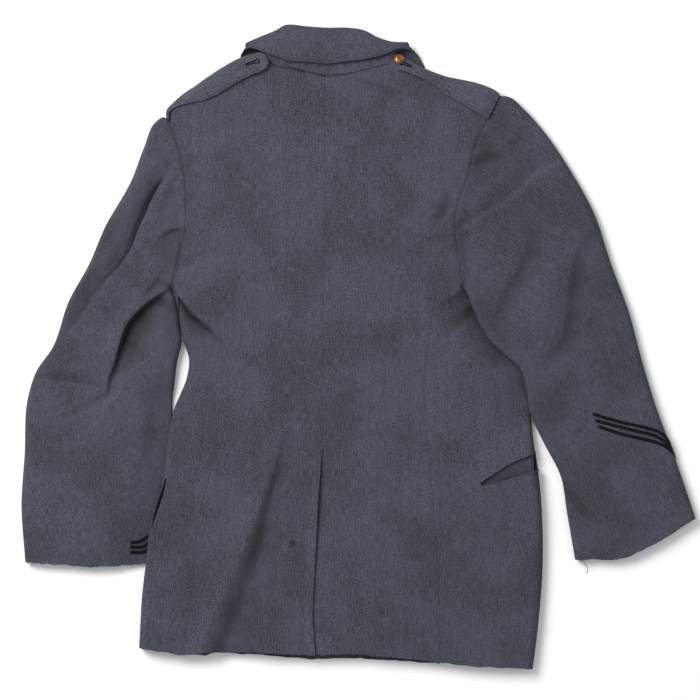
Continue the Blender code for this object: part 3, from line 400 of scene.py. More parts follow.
# Creases. A trough or a ridge: x, y, height, and its widths to the left and right of the way its rows run
TROUGHS = {
    "body": (
        ((-239, 101, -0.4, 7, 7), (-224, 106, -1.3, 7, 9), (-207, 117, -0.5, 8, 8), (-196, 122, 0)),
        ((-116, -113, 0, 20, 20), (-96, -87, -1.0, 18, 18), (-73, -59, -0.7, 16, 16), (-58, -40, 0)),
        ((-83, -156, 0, 6, 6), (-68, -149, -0.9, 5, 7), (-53, -143, 0, 6, 6)),
        ((-107, -284, 0, 9, 9), (-86, -279, -0.8), (-64, -276, 0)),
        ((-151, -39, 0, 14, 14), (-134, -20, -0.9, 12), (-118, -3, 0, 14)),
        ((-5, -61, 0, 10, 10), (21, -52, -0.8, 9, 11), (47, -35, 0, 10, 10)),
        ((-5, -120, 0, 12, 12), (20, -115, -0.8, 10), (47, -107, 0, 12)),
        ((53, -174, 0, 8, 8), (67, -169, -0.8, 7), (81, -165, 0, 8)),
        ((40, -160, 0, 22, 22), (41, -230, -1.0), (38, -320, -0.6), (36, -390, 0)),
        ((-12, 349, -1.0, 7, 9), (16, 340, -2.4, 7, 10), (46, 331, -2.2), (68, 324, 0, 7, 9)),
        ((10, 326, 0, 8, 8), (34, 319, -1.2, 7, 9), (56, 310, 0, 8, 8)),
        ((124, 207, 0, 8, 8), (118, 192, -2.2, 8, 12), (111, 178, -3.0, 8, 14), (102, 163, -2.0),
         (91, 148, 0, 9, 10)),
        ((152, 60, -3.0, 12, 12), (137, 39, -4.0, 10, 17), (121, 22, -2.6, 10, 19), (102, 8, 0, 9, 14)),
        ((127, 144, -1.5, 9, 9), (112, 140, -1.9, 10, 10), (92, 136, -1.2, 12, 12), (62, 104, 0)),
        ((112, 112, 0, 10, 10), (104, 60, 1.0, 12, 12), (100, 20, 0)),
        ((30, 60, 0, 40, 40), (10, 0, -0.8), (-10, -60, 0)),
        ((-150, 250, 0, 30, 30), (-140, 180, -0.7), (-120, 100, 0)),
        ((-205, -60, 0, 14, 14), (-214, -120, 0.9), (-236, -200, 0)),
        ((160, -230, 0, 22, 22), (166, -300, -0.9), (160, -360, 0)),
        ((196, -110, 0, 14, 14), (180, -60, -1.2), (150, -10, 0)),
    ),
    "left back": (
        ((-48, -128, 0, 20, 12), (-51, -165, 1.6), (-53, -198, 3.0, 22), (-56, -250, 1.9, 20),
         (-59, -310, 1.0), (-60, -360, 1.3, 18), (-57, -410, 2.0)),
    ),
    "right back": (
        ((-44, -122, 0, 14, 22), (-47, -175, -1.6), (-50, -240), (-52, -330, -0.8, 14, 20),
         (-50, -410, -0.6)),
    ),
    "left sleeve": (
        ((-304, 151, 0, 8, 8), (-325, 114, 1.0), (-337, 94, 0)),
        ((-222, 203, 0, 8, 8), (-243, 200, -1.0, 7, 9), (-262, 195, 0, 8, 8)),
        ((-247, 98, 0, 8, 8), (-258, 86, -1.8, 9), (-272, 72, -2.4, 9, 7), (-284, 58, 0, 8, 8)),
        ((-291, 132, 0, 26, 26), (-318, 88, 2.2), (-345, 40, 1.6), (-365, -5, 0)),
        ((-425, -36, -0.4, 12, 10), (-400, -41, -1.6, 12, 8), (-356, -45, -1.8), (-326, -55, 0, 10)),
        ((-308, -36, 0, 8, 8), (-318, -54, -1.5, 8, 9), (-337, -70, -1.7, 9), (-360, -78, -1.1),
         (-391, -92, 0)),
        ((-296, -40, 0, 16, 16), (-282, -90, 1.3), (-284, -150, 0)),
        ((-400, -130, 0, 24, 24), (-372, -170, -1.1), (-350, -230, 0)),
        ((-262, -70, 0, 14, 14), (-268, -110, -1.0), (-280, -160, 0)),
        ((-262, 288, 0, 9, 9), (-276, 262, 1.2), (-290, 228, 0)),
    ),
    "right sleeve": (
        ((140, 236, -0.5, 10, 10), (157, 240, -1.8, 11, 11), (181, 249, -1.4), (200, 258, 0)),
        ((190, 254, 0, 12, 12), (207, 268, -1.9, 13, 13), (226, 282, 0, 12, 12)),
        ((168, 296, 0, 14, 14), (186, 272, 1.0), (200, 240, 0)),
        ((206, 186, 0, 16, 12), (219, 164, -1.8, 20, 14), (229, 140, -3.4, 24, 16), (223, 114, -3.2),
         (204, 82, -2.4, 22), (187, 46, -2.0, 20, 14), (176, 20, 0, 16, 12)),
        ((190, 150, 0, 24, 24), (196, 110, 1.8), (176, 66, 1.2), (162, 40, 0, 20, 20)),
        ((318, 160, 0, 12, 10), (304, 142, -1.6, 14, 12), (290, 120, -3.0, 17), (283, 88, -3.0, 18),
         (280, 48, -2.6, 20, 13), (271, 6, -2.8, 20, 14), (252, -14, -2.2, 18), (232, -30, 0, 14, 12)),
        ((258, 130, 0, 26, 26), (250, 80, 1.6), (240, 30, 1.0), (226, -6, 0, 24, 24)),
        ((268, -180, -1.4, 9, 9), (281, -198, -2.0), (303, -218, -0.8), (316, -228, 0)),
        ((300, -60, 0, 26, 26), (318, -120, 1.0), (336, -190, 0)),
        ((348, -110, 0, 20, 20), (330, -160, -0.9), (322, -230, 0)),
        ((240, -70, 0, 12, 12), (262, -110, -1.0), (290, -150, 0)),
    ),
    "front": (
        ((-150, 240, 0, 30, 30), (-130, 120, -1.6, 34, 28), (-150, -20, 0, 30, 30)),
        ((60, 200, 0, 26, 26), (44, 80, -1.4, 26, 32), (60, -80, 0, 30, 30)),
        ((-190, -150, 0, 18, 18), (-150, -220, -1.5, 20), (-120, -300, 0, 18)),
        ((30, -180, 0, 20, 20), (70, -260, -1.7, 22), (90, -360, 0, 20)),
        ((-225, 20, 0, 12, 12), (-180, 0, -1.3, 12, 14), (-120, -10, 0, 12, 12)),
        ((150, 20, 0, 12, 12), (110, -6, -1.3, 14), (60, -12, 0, 12)),
    ),
    "sleeve front": (
        ((-260, 200, 0, 16, 16), (-300, 120, -1.5, 18), (-330, 40, 0, 16)),
        ((-410, -20, 0, 12, 12), (-350, -34, -1.6, 12, 14), (-270, -40, 0, 12, 12)),
        ((-380, -120, 0, 20, 20), (-350, -190, -1.2, 20, 22), (-340, -250, 0, 20, 20)),
        ((180, 230, 0, 16, 16), (230, 140, -1.5, 16, 18), (260, 50, 0, 16, 16)),
        ((350, 20, 0, 12, 12), (300, -6, -1.6, 12, 14), (250, -20, 0, 12, 12)),
        ((300, -100, 0, 20, 20), (340, -170, -1.2, 20, 22), (350, -230, 0, 20, 20)),
    ),
}

# A step, whose high side is on the left of the way its rows run: x, y, rise of the high side, drop of the low
# side, width of the rise, width of the slope between them, width of the drop, and how far the rise hangs over
STEPS = {
    "body": (
        ((-229, -452, 3.8, 5.0, 34, 30, 70, 0), (-206, -402, 3.8, 5.0, 36, 31, 72),
         (-184, -339, 3.8, 5.0, 38), (-154, -274, 3.4, 4.8, 36, 26, 68), (-128, -199, 2.4, 4.0, 30, 14, 52),
         (-114, -160, 1.5, 3.0, 26, 11, 44), (-103, -112, 0.6, 1.5, 24, 14, 42),
         (-88, -84, 0, 0, 20, 12, 40)),
        ((-250, 84, 0, 0, 8, 4, 14, 0), (-240, 75, 0.8, 2.0, 9, 4, 20), (-229, 63, 2.2, 5.5, 12, 4, 28, 1),
         (-214, 45, 2.6, 6.0, 16, 5, 30, 1.5), (-199, 32, 2.2, 5.0, 18, 6, 30, 1),
         (-184, 18, 1.2, 2.6, 18, 9, 30, 0), (-166, -4, 0.4, 0.8, 16, 10, 28),
         (-150, -26, 0, 0, 14, 10, 26)),
    ),
    "left sleeve": (
        ((-228, 236, 0, 0, 12, 6, 18, 0), (-240, 231, 0.8, 1.4, 14, 6, 22),
         (-248, 223, 1.8, 3.0, 18, 5, 26, 1), (-256, 210, 2.8, 4.4, 22, 4, 28, 2.4),
         (-264, 194, 3.2, 5.2, 24, 4, 28, 3.6), (-273, 173, 3.2, 5.2, 26, 4, 28, 3.8),
         (-282, 154, 3.0, 4.6, 26, 4, 28, 3.6), (-292, 130, 2.6, 3.8, 24, 4, 28, 3.0),
         (-306, 109, 2.2, 3.2, 24, 4, 28, 1.8), (-330, 86, 2.2, 3.0, 22, 4, 28, 1.4),
         (-357, 48, 1.9, 2.8, 20, 4, 28, 0.8), (-385, 8, 1.3, 2.2, 18, 5, 26, 0.3),
         (-409, -26, 0, 0, 16, 8, 24, 0)),
        ((-330, -66, 0, 0, 18, 6, 24, 0), (-328, -42, 1.4, 4.0, 20, 6, 30, 1),
         (-322, -24, 2.2, 6.4, 24, 6, 38, 2), (-317, -6, 2.8, 8.0, 26, 5, 44),
         (-311, 14, 3.2, 9.0, 28, 5, 48), (-302, 34, 3.4, 9.0, 28, 5, 50, 1.6),
         (-287, 50, 3.0, 8.0, 26, 6, 46, 0.6), (-275, 60, 2.0, 6.0, 22, 7, 40, 0),
         (-262, 69, 1.2, 4.0, 14, 6, 28), (-250, 76, 0.5, 1.5, 9, 5, 18), (-238, 84, 0, 0, 8, 5, 12)),
        ((-275, 128, 0, 0, 16, 8, 20, 0), (-262, 143, 0.8, 1.2, 16, 7, 22),
         (-248, 153, 1.3, 2.0, 14, 5, 20), (-236, 156, 1.3, 2.0, 12, 4, 18),
         (-224, 158, 0.6, 0.8, 10, 4, 14)),
    ),
    "right sleeve": (
        ((268, 238, 0, 0, 18, 8, 24, 0), (251, 234, 0.8, 1.6, 18, 7, 26), (233, 226, 1.4, 2.6, 20, 6, 28),
         (214, 208, 1.8, 3.6, 22, 5, 30), (193, 189, 1.9, 3.8), (171, 176, 1.6, 3.2, 20, 5, 26),
         (150, 164, 1.2, 2.2, 16, 5, 20), (134, 152, 0.4, 0.8, 12, 5, 14)),
    ),
}
# Painted shade in the folds, along the creases' low sides and under their overhangs, where shade falls: x, y,
# how much, and its widths to the left and the right
PAINTED_SHADE_LINES = {
    "body": (
        ((129, 143, -2, 3, 22), (136, 112, -3), (139, 82, -5), (151, 47, -8, 3, 26), (170, 13, -8, 3, 28),
         (190, -9, -9), (209, -26, -10, 3, 26), (215, -48, -8, 3, 22), (220, -74, -4, 3, 18),
         (226, -96, 0, 3, 14)),
        ((153, 61, -14, 7, 8), (145, 50, -11, 7, 10), (137, 39, -7, 7, 13), (121, 22, -4, 8, 16),
         (102, 8, 0, 8, 14)),
        ((124, 207, 0, 5, 5), (118, 192, -6, 5, 9), (111, 178, -8, 5, 11), (102, 163, -5, 6),
         (91, 148, 0, 7, 9)),
        ((-244, 80, -4, 2, 14), (-229, 63, -7, 2, 24), (-214, 45, -8, 2, 28), (-199, 32, -7),
         (-184, 18, -5, 2, 26), (-166, -4, -2, 2, 22), (-150, -26, 0, 2, 20)),
        ((-206, -440, -9, 18, 18), (-187, -390, -10), (-163, -328, -11), (-143, -276, -11, 15, 15),
         (-124, -222, -9, 11, 11), (-111, -172, -5, 9, 9), (-100, -120, 0)),
        ((-229, -452, -4, 1, 9), (-184, -339), (-154, -274, -4, 1, 8), (-130, -206, -3, 1, 7),
         (-112, -150, 0, 2)),
        ((-112, 370, 0, 3, 3), (-94, 364, -9), (-69, 358.5, -12), (-44, 353.5, -13), (-20, 354.5, -12),
         (3, 359.5, -10), (34, 368, 0)),
        ((-14, 352, -4, 10, 12), (14, 341, -5, 12), (44, 330, -3, 10, 10), (66, 322, 0, 8, 8)),
        ((-232, 190, 0, 10, 6), (-228, 150, -2), (-236, 110, -3), (-244, 84, -3, 8)),
        ((-244, 80, -14, 1, 12), (-229, 62, -20, 1, 14), (-214, 44, -19, 1, 13), (-199, 31, -14, 1, 12),
         (-184, 17, -8, 1, 11), (-168, -2, -2, 1, 10)),
        ((151, 48, -7, 1, 9), (170, 14, -9, 1, 11), (190, -8, -10, 1, 12), (209, -25, -11),
         (215, -47, -8, 1, 10), (221, -76, 0, 1, 8)),
    ),
    "left sleeve": (
        ((-251, 224, -1, 1, 24), (-271, 194, -4, 1, 40), (-291, 154, -6, 1, 44), (-312, 109, -6, 1, 40),
         (-357, 48, -6, 1, 32), (-409, -26, -3, 1, 18)),
        ((-327, -62, 0, 3, 20), (-322, -24, -6, 3, 34), (-317, -6, -8, 3, 44), (-311, 14, -10, 3, 50),
         (-302, 34, -10, 3, 52), (-287, 50, -10, 3, 48), (-270, 64, -9, 3, 38), (-252, 76, -7, 3, 26)),
        ((-248, 82, -5, 9, 8), (-262, 90, -5, 10, 9), (-277, 79, -3), (-292, 60, 0, 8, 8)),
        ((-272, 60, -6, 2, 16), (-258, 62, -13, 8, 18), (-246, 54, -13, 12, 14), (-240, 34, -3, 12, 12)),
        ((-436, -34, -3, 15, 3), (-400, -38, -4, 17), (-360, -44, -5, 18), (-328, -52)),
        ((-250, 40, -5, 14, 14), (-243, -20, -5, 14, 12), (-247, -80, -3, 12, 10), (-256, -150, -2, 10),
         (-270, -240, 0)),
        ((-240, 232, 0, 1, 6), (-249, 223, -12, 1, 11), (-258, 209, -27, 1, 15), (-266, 193, -32, 1, 17),
         (-276, 172, -32, 1, 16), (-285, 153, -32, 1, 14), (-295, 129, -30, 1, 11), (-308, 108, -24, 1, 9),
         (-331, 85, -17, 1, 8), (-357, 48, -13), (-385, 8, -9, 1, 7), (-409, -26, -4, 1, 6)),
        ((-327, -62, -5, 1, 8), (-322, -24, -9, 1, 12), (-316, -6, -12, 1, 16), (-310, 14, -13, 1, 18),
         (-301, 33), (-286, 49, -13, 1, 17), (-270, 63, -11, 1, 14), (-252, 75, -8, 1, 9)),
        ((-436, -37, -5, 9, 1), (-400, -41, -6), (-360, -47, -7, 10), (-334, -54, -6)),
        ((-292, 230, -3, 16, 16), (-324, 170), (-350, 110, -2, 14, 14), (-378, 60, 0)),
    ),
    "right sleeve": (
        ((219, 168, -2, 16, 14), (229, 140, -5, 24), (223, 114), (204, 82, -4, 22), (187, 46, -3, 18, 12),
         (176, 20, -2, 14, 10)),
        ((316, 158, 0, 10, 10), (302, 140, -3, 14, 12), (290, 116, -5, 18), (283, 88), (276, 44, -4, 20),
         (262, 6, -5), (246, -14, -5, 18), (228, -30, -3, 14, 10)),
        ((258, -170, -3, 3, 14), (268, -181, -6, 3, 18), (283, -192, -7, 3, 20), (299, -214, -4, 3, 18),
         (314, -228, 0, 3, 12)),
        ((148, 240, -3, 10, 10), (164, 246, -5, 13, 13), (186, 252, -4, 12, 12), (206, 262, -3),
         (226, 280, 0, 10, 10)),
        ((222, 214, 0, 20, 20), (240, 176, -3, 24, 24), (256, 136, 0, 20, 20)),
        ((158, 60, -3, 14, 2), (176, 22, -4), (206, -14, -3, 12), (222, -60, 0, 10)),
    ),
}
SOFT_SHARE = 0.3
# Painted shade along a seam's groove, for each millimetre of its depth
SEAM_SHADE = 10.0

# Soft waves all over the cloth: size of a wave, height
WAVES = ((95, 1.5), (42, 0.8), (17, 0.3), (6.5, 0.07))
SEAM_GROOVES = {
    "body": ((CENTRE_SEAM, 0.3, 1.5), (LEFT_SIDE_SEAM, 0.3, 1.4), (RIGHT_SIDE_SEAM, 0.35, 1.4),
             (LEFT_ARMHOLE, 0.9, 2.2), (RIGHT_ARMHOLE, 0.8, 2.2),
             (BACK_NECK_LEFT, 0.9, 1.9), (BACK_NECK_RIGHT, 0.9, 1.9)),
    "left sleeve": ((LEFT_ARMHOLE, 0.9, 2.2),),
    "right sleeve": ((RIGHT_ARMHOLE, 0.8, 2.2),),
}


def waves(plan):
    """Gentle unevenness of cloth that was only spread by hand."""
    total = np.zeros(plan.shape[:-1])
    for number, (size, height) in enumerate(WAVES):
        random = np.random.default_rng(31 + number)
        grid = random.uniform(-1, 1, (256, 256))
        place = plan / size + 100
        corner = np.floor(place).astype(int)
        part = place - corner
        part = part ** 3 * (part * (part * 6 - 15) + 10)
        column, row = corner[..., 0] % 255, corner[..., 1] % 255
        near = grid[row, column] * (1 - part[..., 0]) + grid[row, column + 1] * part[..., 0]
        far = grid[row + 1, column] * (1 - part[..., 0]) + grid[row + 1, column + 1] * part[..., 0]
        total += height * (near * (1 - part[..., 1]) + far * part[..., 1])
    return total


class Crease:
    """One crease of the cloth, which lifts and shifts the points near it, or a line of painted shade."""

    def __init__(self, rows, kind):
        self.is_step, self.is_flat = kind == "step", kind == "painted_shade"
        self.samples = Line(rows)(np.linspace(0, 1, 12 * len(rows)))
        self.samples[:, 4:] = np.maximum(self.samples[:, 4:], 0)
        self.reach = self.samples[:, 4:7].max() if self.is_step else self.samples[:, 3:].max()

    def lift(self, plan):
        low, high = self.samples[:, :2].min(0) - self.reach, self.samples[:, :2].max(0) + self.reach
        inside = np.flatnonzero(((plan > low) & (plan < high)).all(1))
        if not len(inside):
            return inside, np.zeros(0), np.zeros((0, 2))
        away, offset, k, near = nearest(self.samples, plan[inside])
        rows = self.samples[k] + near[:, None] * (self.samples[k + 1] - self.samples[k])
        ahead = unit(self.samples[k + 1, :2] - self.samples[k, :2])
        left = -(offset[:, 1] * ahead[:, 0] - offset[:, 0] * ahead[:, 1])
        on_left = left > 0
        if not self.is_step:
            u = away / np.where(on_left, rows[:, 3], rows[:, 4])
            return inside, rows[:, 2] * np.maximum(1 - u ** 2, 0) ** 2, np.zeros((len(inside), 2))
        rise, drop, wide, slope, deep, over = rows[:, 2:8].T
        high_side = rise * (1 - fade(away / wide)) ** 1.6
        down = np.clip(away / slope, 0, 1)
        soft = np.maximum(away - slope, 0) / np.maximum(deep - slope, 1e-6)
        low_side = rise * (1 - fade(down)) - drop * fade(down) * (1 - fade(soft))
        lift = np.where(on_left, high_side, low_side)
        hang = over * np.where(on_left, 1 - fade(away / (wide * SOFT_SHARE)), 1 - fade(away / slope))
        across = np.column_stack([ahead[:, 1], -ahead[:, 0]])
        return inside, lift, across * hang[:, None]


def creases(*names):
    """The creases of the named stretches of cloth, and their painted shade."""
    return [Crease(rows, kind) for table, kind in ((TROUGHS, "trough"), (STEPS, "step"), (PAINTED_SHADE_LINES, "painted_shade"))
            for name in names for rows in table.get(name, ())]


def seam_lines(*names):
    return [(Line(rows)(np.linspace(0, 1, 60)), depth, width)
            for name in names for rows, depth, width in SEAM_GROOVES.get(name, ())]


def dressed(plan, height, out, folds, seams=(), calm=1.0, under=False):
    """Points of the cloth's face with its creases, and each point's painted shading: how far it was lifted,
    plus painted shade in the painted shade lines and along the seams.
    """
    shape = plan.shape[:-1]
    flat = plan.reshape(-1, 2)
    lift = waves(flat) * np.broadcast_to(calm, shape).reshape(-1)
    if under:
        lift = -np.abs(lift)
    shift = np.zeros_like(flat)
    painted_shade = np.zeros(len(flat))
    for fold in folds:
        inside, up, along = fold.lift(flat)
        # Painted shade lines darken the cloth without moving it
        if fold.is_flat:
            painted_shade[inside] += up
        else:
            lift[inside] += up
            shift[inside] += along
    # Painted shade and light: darker where the cloth lies low in a trough, lighter where it rises
    shown = lift + painted_shade
    for samples, depth, width in seams:
        away = nearest(samples, flat)[0]
        lift -= depth * np.exp(-(away / width) ** 2)
        # Painted shade in the seam's groove
        shown -= SEAM_SHADE * depth * np.exp(-(away / width) ** 2)
    out = out.reshape(-1, 3)
    points = np.dstack([plan, height]).reshape(-1, 3)
    points = points + out * (lift * (0.2 + 0.8 * out[:, 2] ** 2))[:, None]
    points[:, :2] += shift
    return points.reshape(shape + (3,)), shown.reshape(shape)

HEM_ALLOWANCE = 7.0
EDGE_ROUND = 0.12
# An edge is pressed thinner than the wool with its lining
EDGE_THICK = 1.4
# Half the crack between two panels, whose seam is sewn close
SEAM_CRACK = 0.05


def net_normals(points):
    rows = np.gradient(points, axis=0)
    columns = np.gradient(points, axis=1)
    normal = np.cross(columns, rows)
    return unit(normal)


class Shell:
    """Gathers a piece's points, faces and surface values in millimetres, and makes its mesh in metres."""

    def __init__(self):
        self.points, self.faces, self.grain, self.values = [], [], [], []
        self.count = 0

    def add(self, points, faces, grain, painted_shading):
        points = np.asarray(points, float).reshape(-1, 3)
        self.points.append(points)
        self.faces += [tuple(p + self.count for p in face) for face in faces]
        self.grain.append(np.broadcast_to(grain, (len(points), 2)))
        self.values.append(np.broadcast_to(painted_shading, len(points)))
        self.count += len(points)

    def make(self, name, material, sharp=55):
        mesh = bpy.data.meshes.new(name)
        mesh.from_pydata((np.concatenate(self.points) * MM).tolist(), [], self.faces)
        grain = np.concatenate(self.grain) * MM
        corners = np.empty(len(mesh.loops), int)
        mesh.loops.foreach_get("vertex_index", corners)
        layer = mesh.uv_layers.new(name="grain")
        layer.data.foreach_set("uv", grain[corners].ravel())
        # The painted shading of each point, which the cloth's material turns into painted shade and light
        painted_shading = mesh.attributes.new("painted_shading", "FLOAT", "POINT")
        painted_shading.data.foreach_set("value", np.concatenate(self.values))
        mesh.materials.append(material)
        mesh.shade_smooth()
        mesh.set_sharp_from_angle(angle=math.radians(sharp))
        thing = bpy.data.objects.new(name, mesh)
        bpy.context.scene.collection.objects.link(thing)
        return thing


def cloth_shell(outer, grain, painted_shading, cut=None, thickness=EDGE_THICK, allowance=HEM_ALLOWANCE, facing=1):
    """A shell from a net of points, with its edges turned in. cut marks the cells that are left out, and
    facing is -1 for a net whose rows and columns run the other way round."""
    rows, columns = outer.shape[:2]
    normal = net_normals(outer) * facing
    kept = np.ones((rows - 1, columns - 1), bool) if cut is None else ~cut
    number = np.arange(rows * columns).reshape(rows, columns)
    a, b, c, d = number[:-1, :-1], number[:-1, 1:], number[1:, 1:], number[1:, :-1]
    quads = np.stack([a, b, c, d] if facing > 0 else [d, c, b, a], axis=-1)[kept]
    flat, level = outer.reshape(-1, 3), normal.reshape(-1, 3)
    edges = np.concatenate([quads[:, [k, (k + 1) % 4]] for k in range(4)])
    keys = {(p, q) for p, q in edges.tolist()}
    rim = [(p, q) for p, q in keys if (q, p) not in keys]
    centre = flat[quads].mean(1)
    inward = np.zeros_like(flat)
    for k in range(4):
        np.add.at(inward, quads[:, k], centre - flat[quads[:, k]])
    border = sorted({p for edge in rim for p in edge})
    along = np.zeros_like(flat)
    for p, q in rim:
        step = flat[q] - flat[p]
        along[p] += step
        along[q] += step
    inward = inward[border]
    for away in (level[border], unit(along[border])):
        inward -= (inward * away).sum(1)[:, None] * away
    inward = unit(inward)
    edge, up = flat[border], level[border]
    bands = [edge - inward * EDGE_ROUND - up * thickness * 0.5, edge - up * thickness,
             edge - up * thickness + inward * allowance]
    shell = Shell()
    used = np.zeros(len(flat), bool)
    used[quads.ravel()] = True
    place = np.cumsum(used) - 1
    shell.add(flat[used], place[quads].tolist(), grain.reshape(-1, 2)[used], painted_shading.reshape(-1)[used])
    base = shell.count
    at = {p: k for k, p in enumerate(border)}
    size = len(border)
    faces = []
    for p, q in rim:
        i, j = at[p], at[q]
        faces.append((place[q], place[p], base + i, base + j))
        for band in (base, base + size):
            faces.append((band + j, band + i, band + size + i, band + size + j))
    shell.faces += faces
    for k, points in enumerate(bands):
        shell.add(points, [], grain.reshape(-1, 2)[border] + (0, 0.4 * k), painted_shading.reshape(-1)[border] * 0.5)
    return shell


def turned(radius, reach, turn_cells, flat_cells):
    """Distances in plan from a ridge: round its turn, then evenly up to a seam."""
    turn = radius * (1 - np.cos(np.linspace(0, math.pi / 2, turn_cells + 1)))
    return np.concatenate([turn, np.linspace(radius, max(reach, radius * 1.01), flat_cells + 1)[1:]])


def cells(length, step):
    return max(2, int(round(length / step)))


# Where seam lines give way to one another, as shares of a panel's edges
PANEL_KNOT, TOP_KNOT = 0.36, 0.6
TURN_STEP = 1.7


def panel_edges(half, inner_line, neck, corner_end):
    """The four edges of a back or front panel, from the armhole side to the middle."""
    outside = Chain([stretch(half.armhole, 1, half.join), half.seam], (0, PANEL_KNOT, 1))
    top = Chain([half.shoulder, neck], (0, TOP_KNOT, 1))
    return outside, inner_line, top, hem_line(half.seam.rows[-1, 0], corner_end)


def middle_line(table, level):
    """A line down the middle of the coat, whose knot stands level with the join of the armhole and side
    seam."""
    line = Line(table)
    dense = np.linspace(0, 1, 401)
    knot = float(np.interp(-level, -line(dense)[:, 1], dense))
    return Chain([stretch(line, 0, knot), stretch(line, knot, 1)], (0, PANEL_KNOT, 1))


def panel_rows(step):
    """Row shares of a back or front panel, close together where the shoulder turns over."""
    length = BACK_NECK_LEFT[0][1] - HEM[0][1]
    radius = (BODY_ROOF - SHOULDER_FLOOR) / 2
    rows = turned(radius, length, cells(radius * math.pi / 2, TURN_STEP), cells(length - radius, step))
    return rows / rows[-1]


def draw_in(net, sides, by=SEAM_CRACK):
    """Draws the named edges of a net in a little, so that two panels meet at their seam."""
    for side in sides:
        view = net if side.endswith("row") else net.swapaxes(0, 1)
        edge, near = (0, 1) if side.startswith("first") else (-1, -2)
        view[edge] += unit(view[near] - view[edge]) * by


def lap(net, offsets):
    """Adds columns past a right panel's last one, at these distances from it, for the part under or over the
    left."""
    added = [net[:, -1] + (offset, 0) for offset in offsets]
    return np.concatenate([net[:, :-1], np.stack(added, axis=1)], axis=1)

def length(name, description, default, smallest=0.0):
    return FloatProperty(name=name, description=description, default=default * MM, min=smallest * MM,
                         unit="LENGTH", precision=4)


def colour(name, description, code):
    return FloatVectorProperty(name=name, description=description, default=linear(code), min=0, max=1,
                               subtype="COLOR")


class CoatSizes(PropertyGroup):
    """Sizes of the cloth's finish."""
    fine_step: length("Fine spacing", "Spacing of the net on the back and the sleeves", 1.6, 1.0)
    plain_step: length("Plain spacing", "Spacing of the net where the coat lies on its front", 4.5, 2.0)
    stitch_length: length("Stitch", "Length of a stitch that shows", 2.6)
    stitch_gap: length("Stitch gap", "Cloth between two stitches", 1.1)
    thread_width: length("Thread", "Width of the sewing thread", 0.5)
    fray_length: length("Fray", "Longest common thread at a raw cuff", 2.6)
    fray_count: IntProperty(name="Fray threads", description="Loose threads along each raw cuff", default=420,
                            min=0)
    lens: FloatProperty(name="Lens", description="Focal length of the camera over the coat", default=200.0,
                        unit="CAMERA")


class CoatColours(PropertyGroup):
    """Colours of the coat's cloth, trim and metal."""
    blue_yarn: colour("Blue-grey yarn", "The lighter yarn of the twill", "#4E4F5B")
    dark_yarn: colour("Dark yarn", "The darker yarn of the twill", "#212329")
    worn: colour("Worn cloth", "Cloth that has lost its blue", "#34393A")
    braid: colour("Braid", "Soutache braid and buttonhole twist", "#0C0E12")
    thread: colour("Thread", "Sewing thread", "#2E3038")
    brass: colour("Brass", "Aged brass of the button", "#A06A38")


def add(tree, kind, inputs=None, stops=(), **settings):
    """Adds a node. inputs gives each socket, by name or number, its value or the node or socket that feeds
    it, settings are the node's properties, and stops are a colour ramp's places and colours."""
    node = tree.nodes.new("ShaderNode" + kind)
    for name, value in settings.items():
        setattr(node, name, value)
    for name, value in (inputs or {}).items():
        if isinstance(value, bpy.types.Node):
            value = value.outputs[0]
        if isinstance(value, bpy.types.NodeSocket):
            tree.links.new(value, node.inputs[name])
        else:
            node.inputs[name].default_value = value
    for number, (place, shade) in enumerate(stops):
        spots = node.color_ramp.elements
        spot = spots[number] if number < len(spots) else spots.new(place)
        spot.position = place
        spot.color = (*shade, 1)
    return node


def new_material(name):
    material = bpy.data.materials.new(name)
    material.use_nodes = True
    material.node_tree.nodes.clear()
    return material


def times(shade, factor):
    return [value * factor for value in shade]


# The twill's real wales stand 0.75 mm apart. They are drawn 2.2 mm apart, because finer ones can't be seen.
WALE = 2.2 * MM
# A wave texture's bands stand this far apart at scale 1
WAVE_SCALE = 0.314
FLECK_WIDTH, FLECK_LENGTH = 1.3 * MM, 12 * MM
FIBRE = 1.25 * MM
CLOUD, YARN_BAR = 70 * MM, 7 * MM
# A place where the cloth is stained: x, y, radius
STAIN = (-86, -253.5, 4.2)


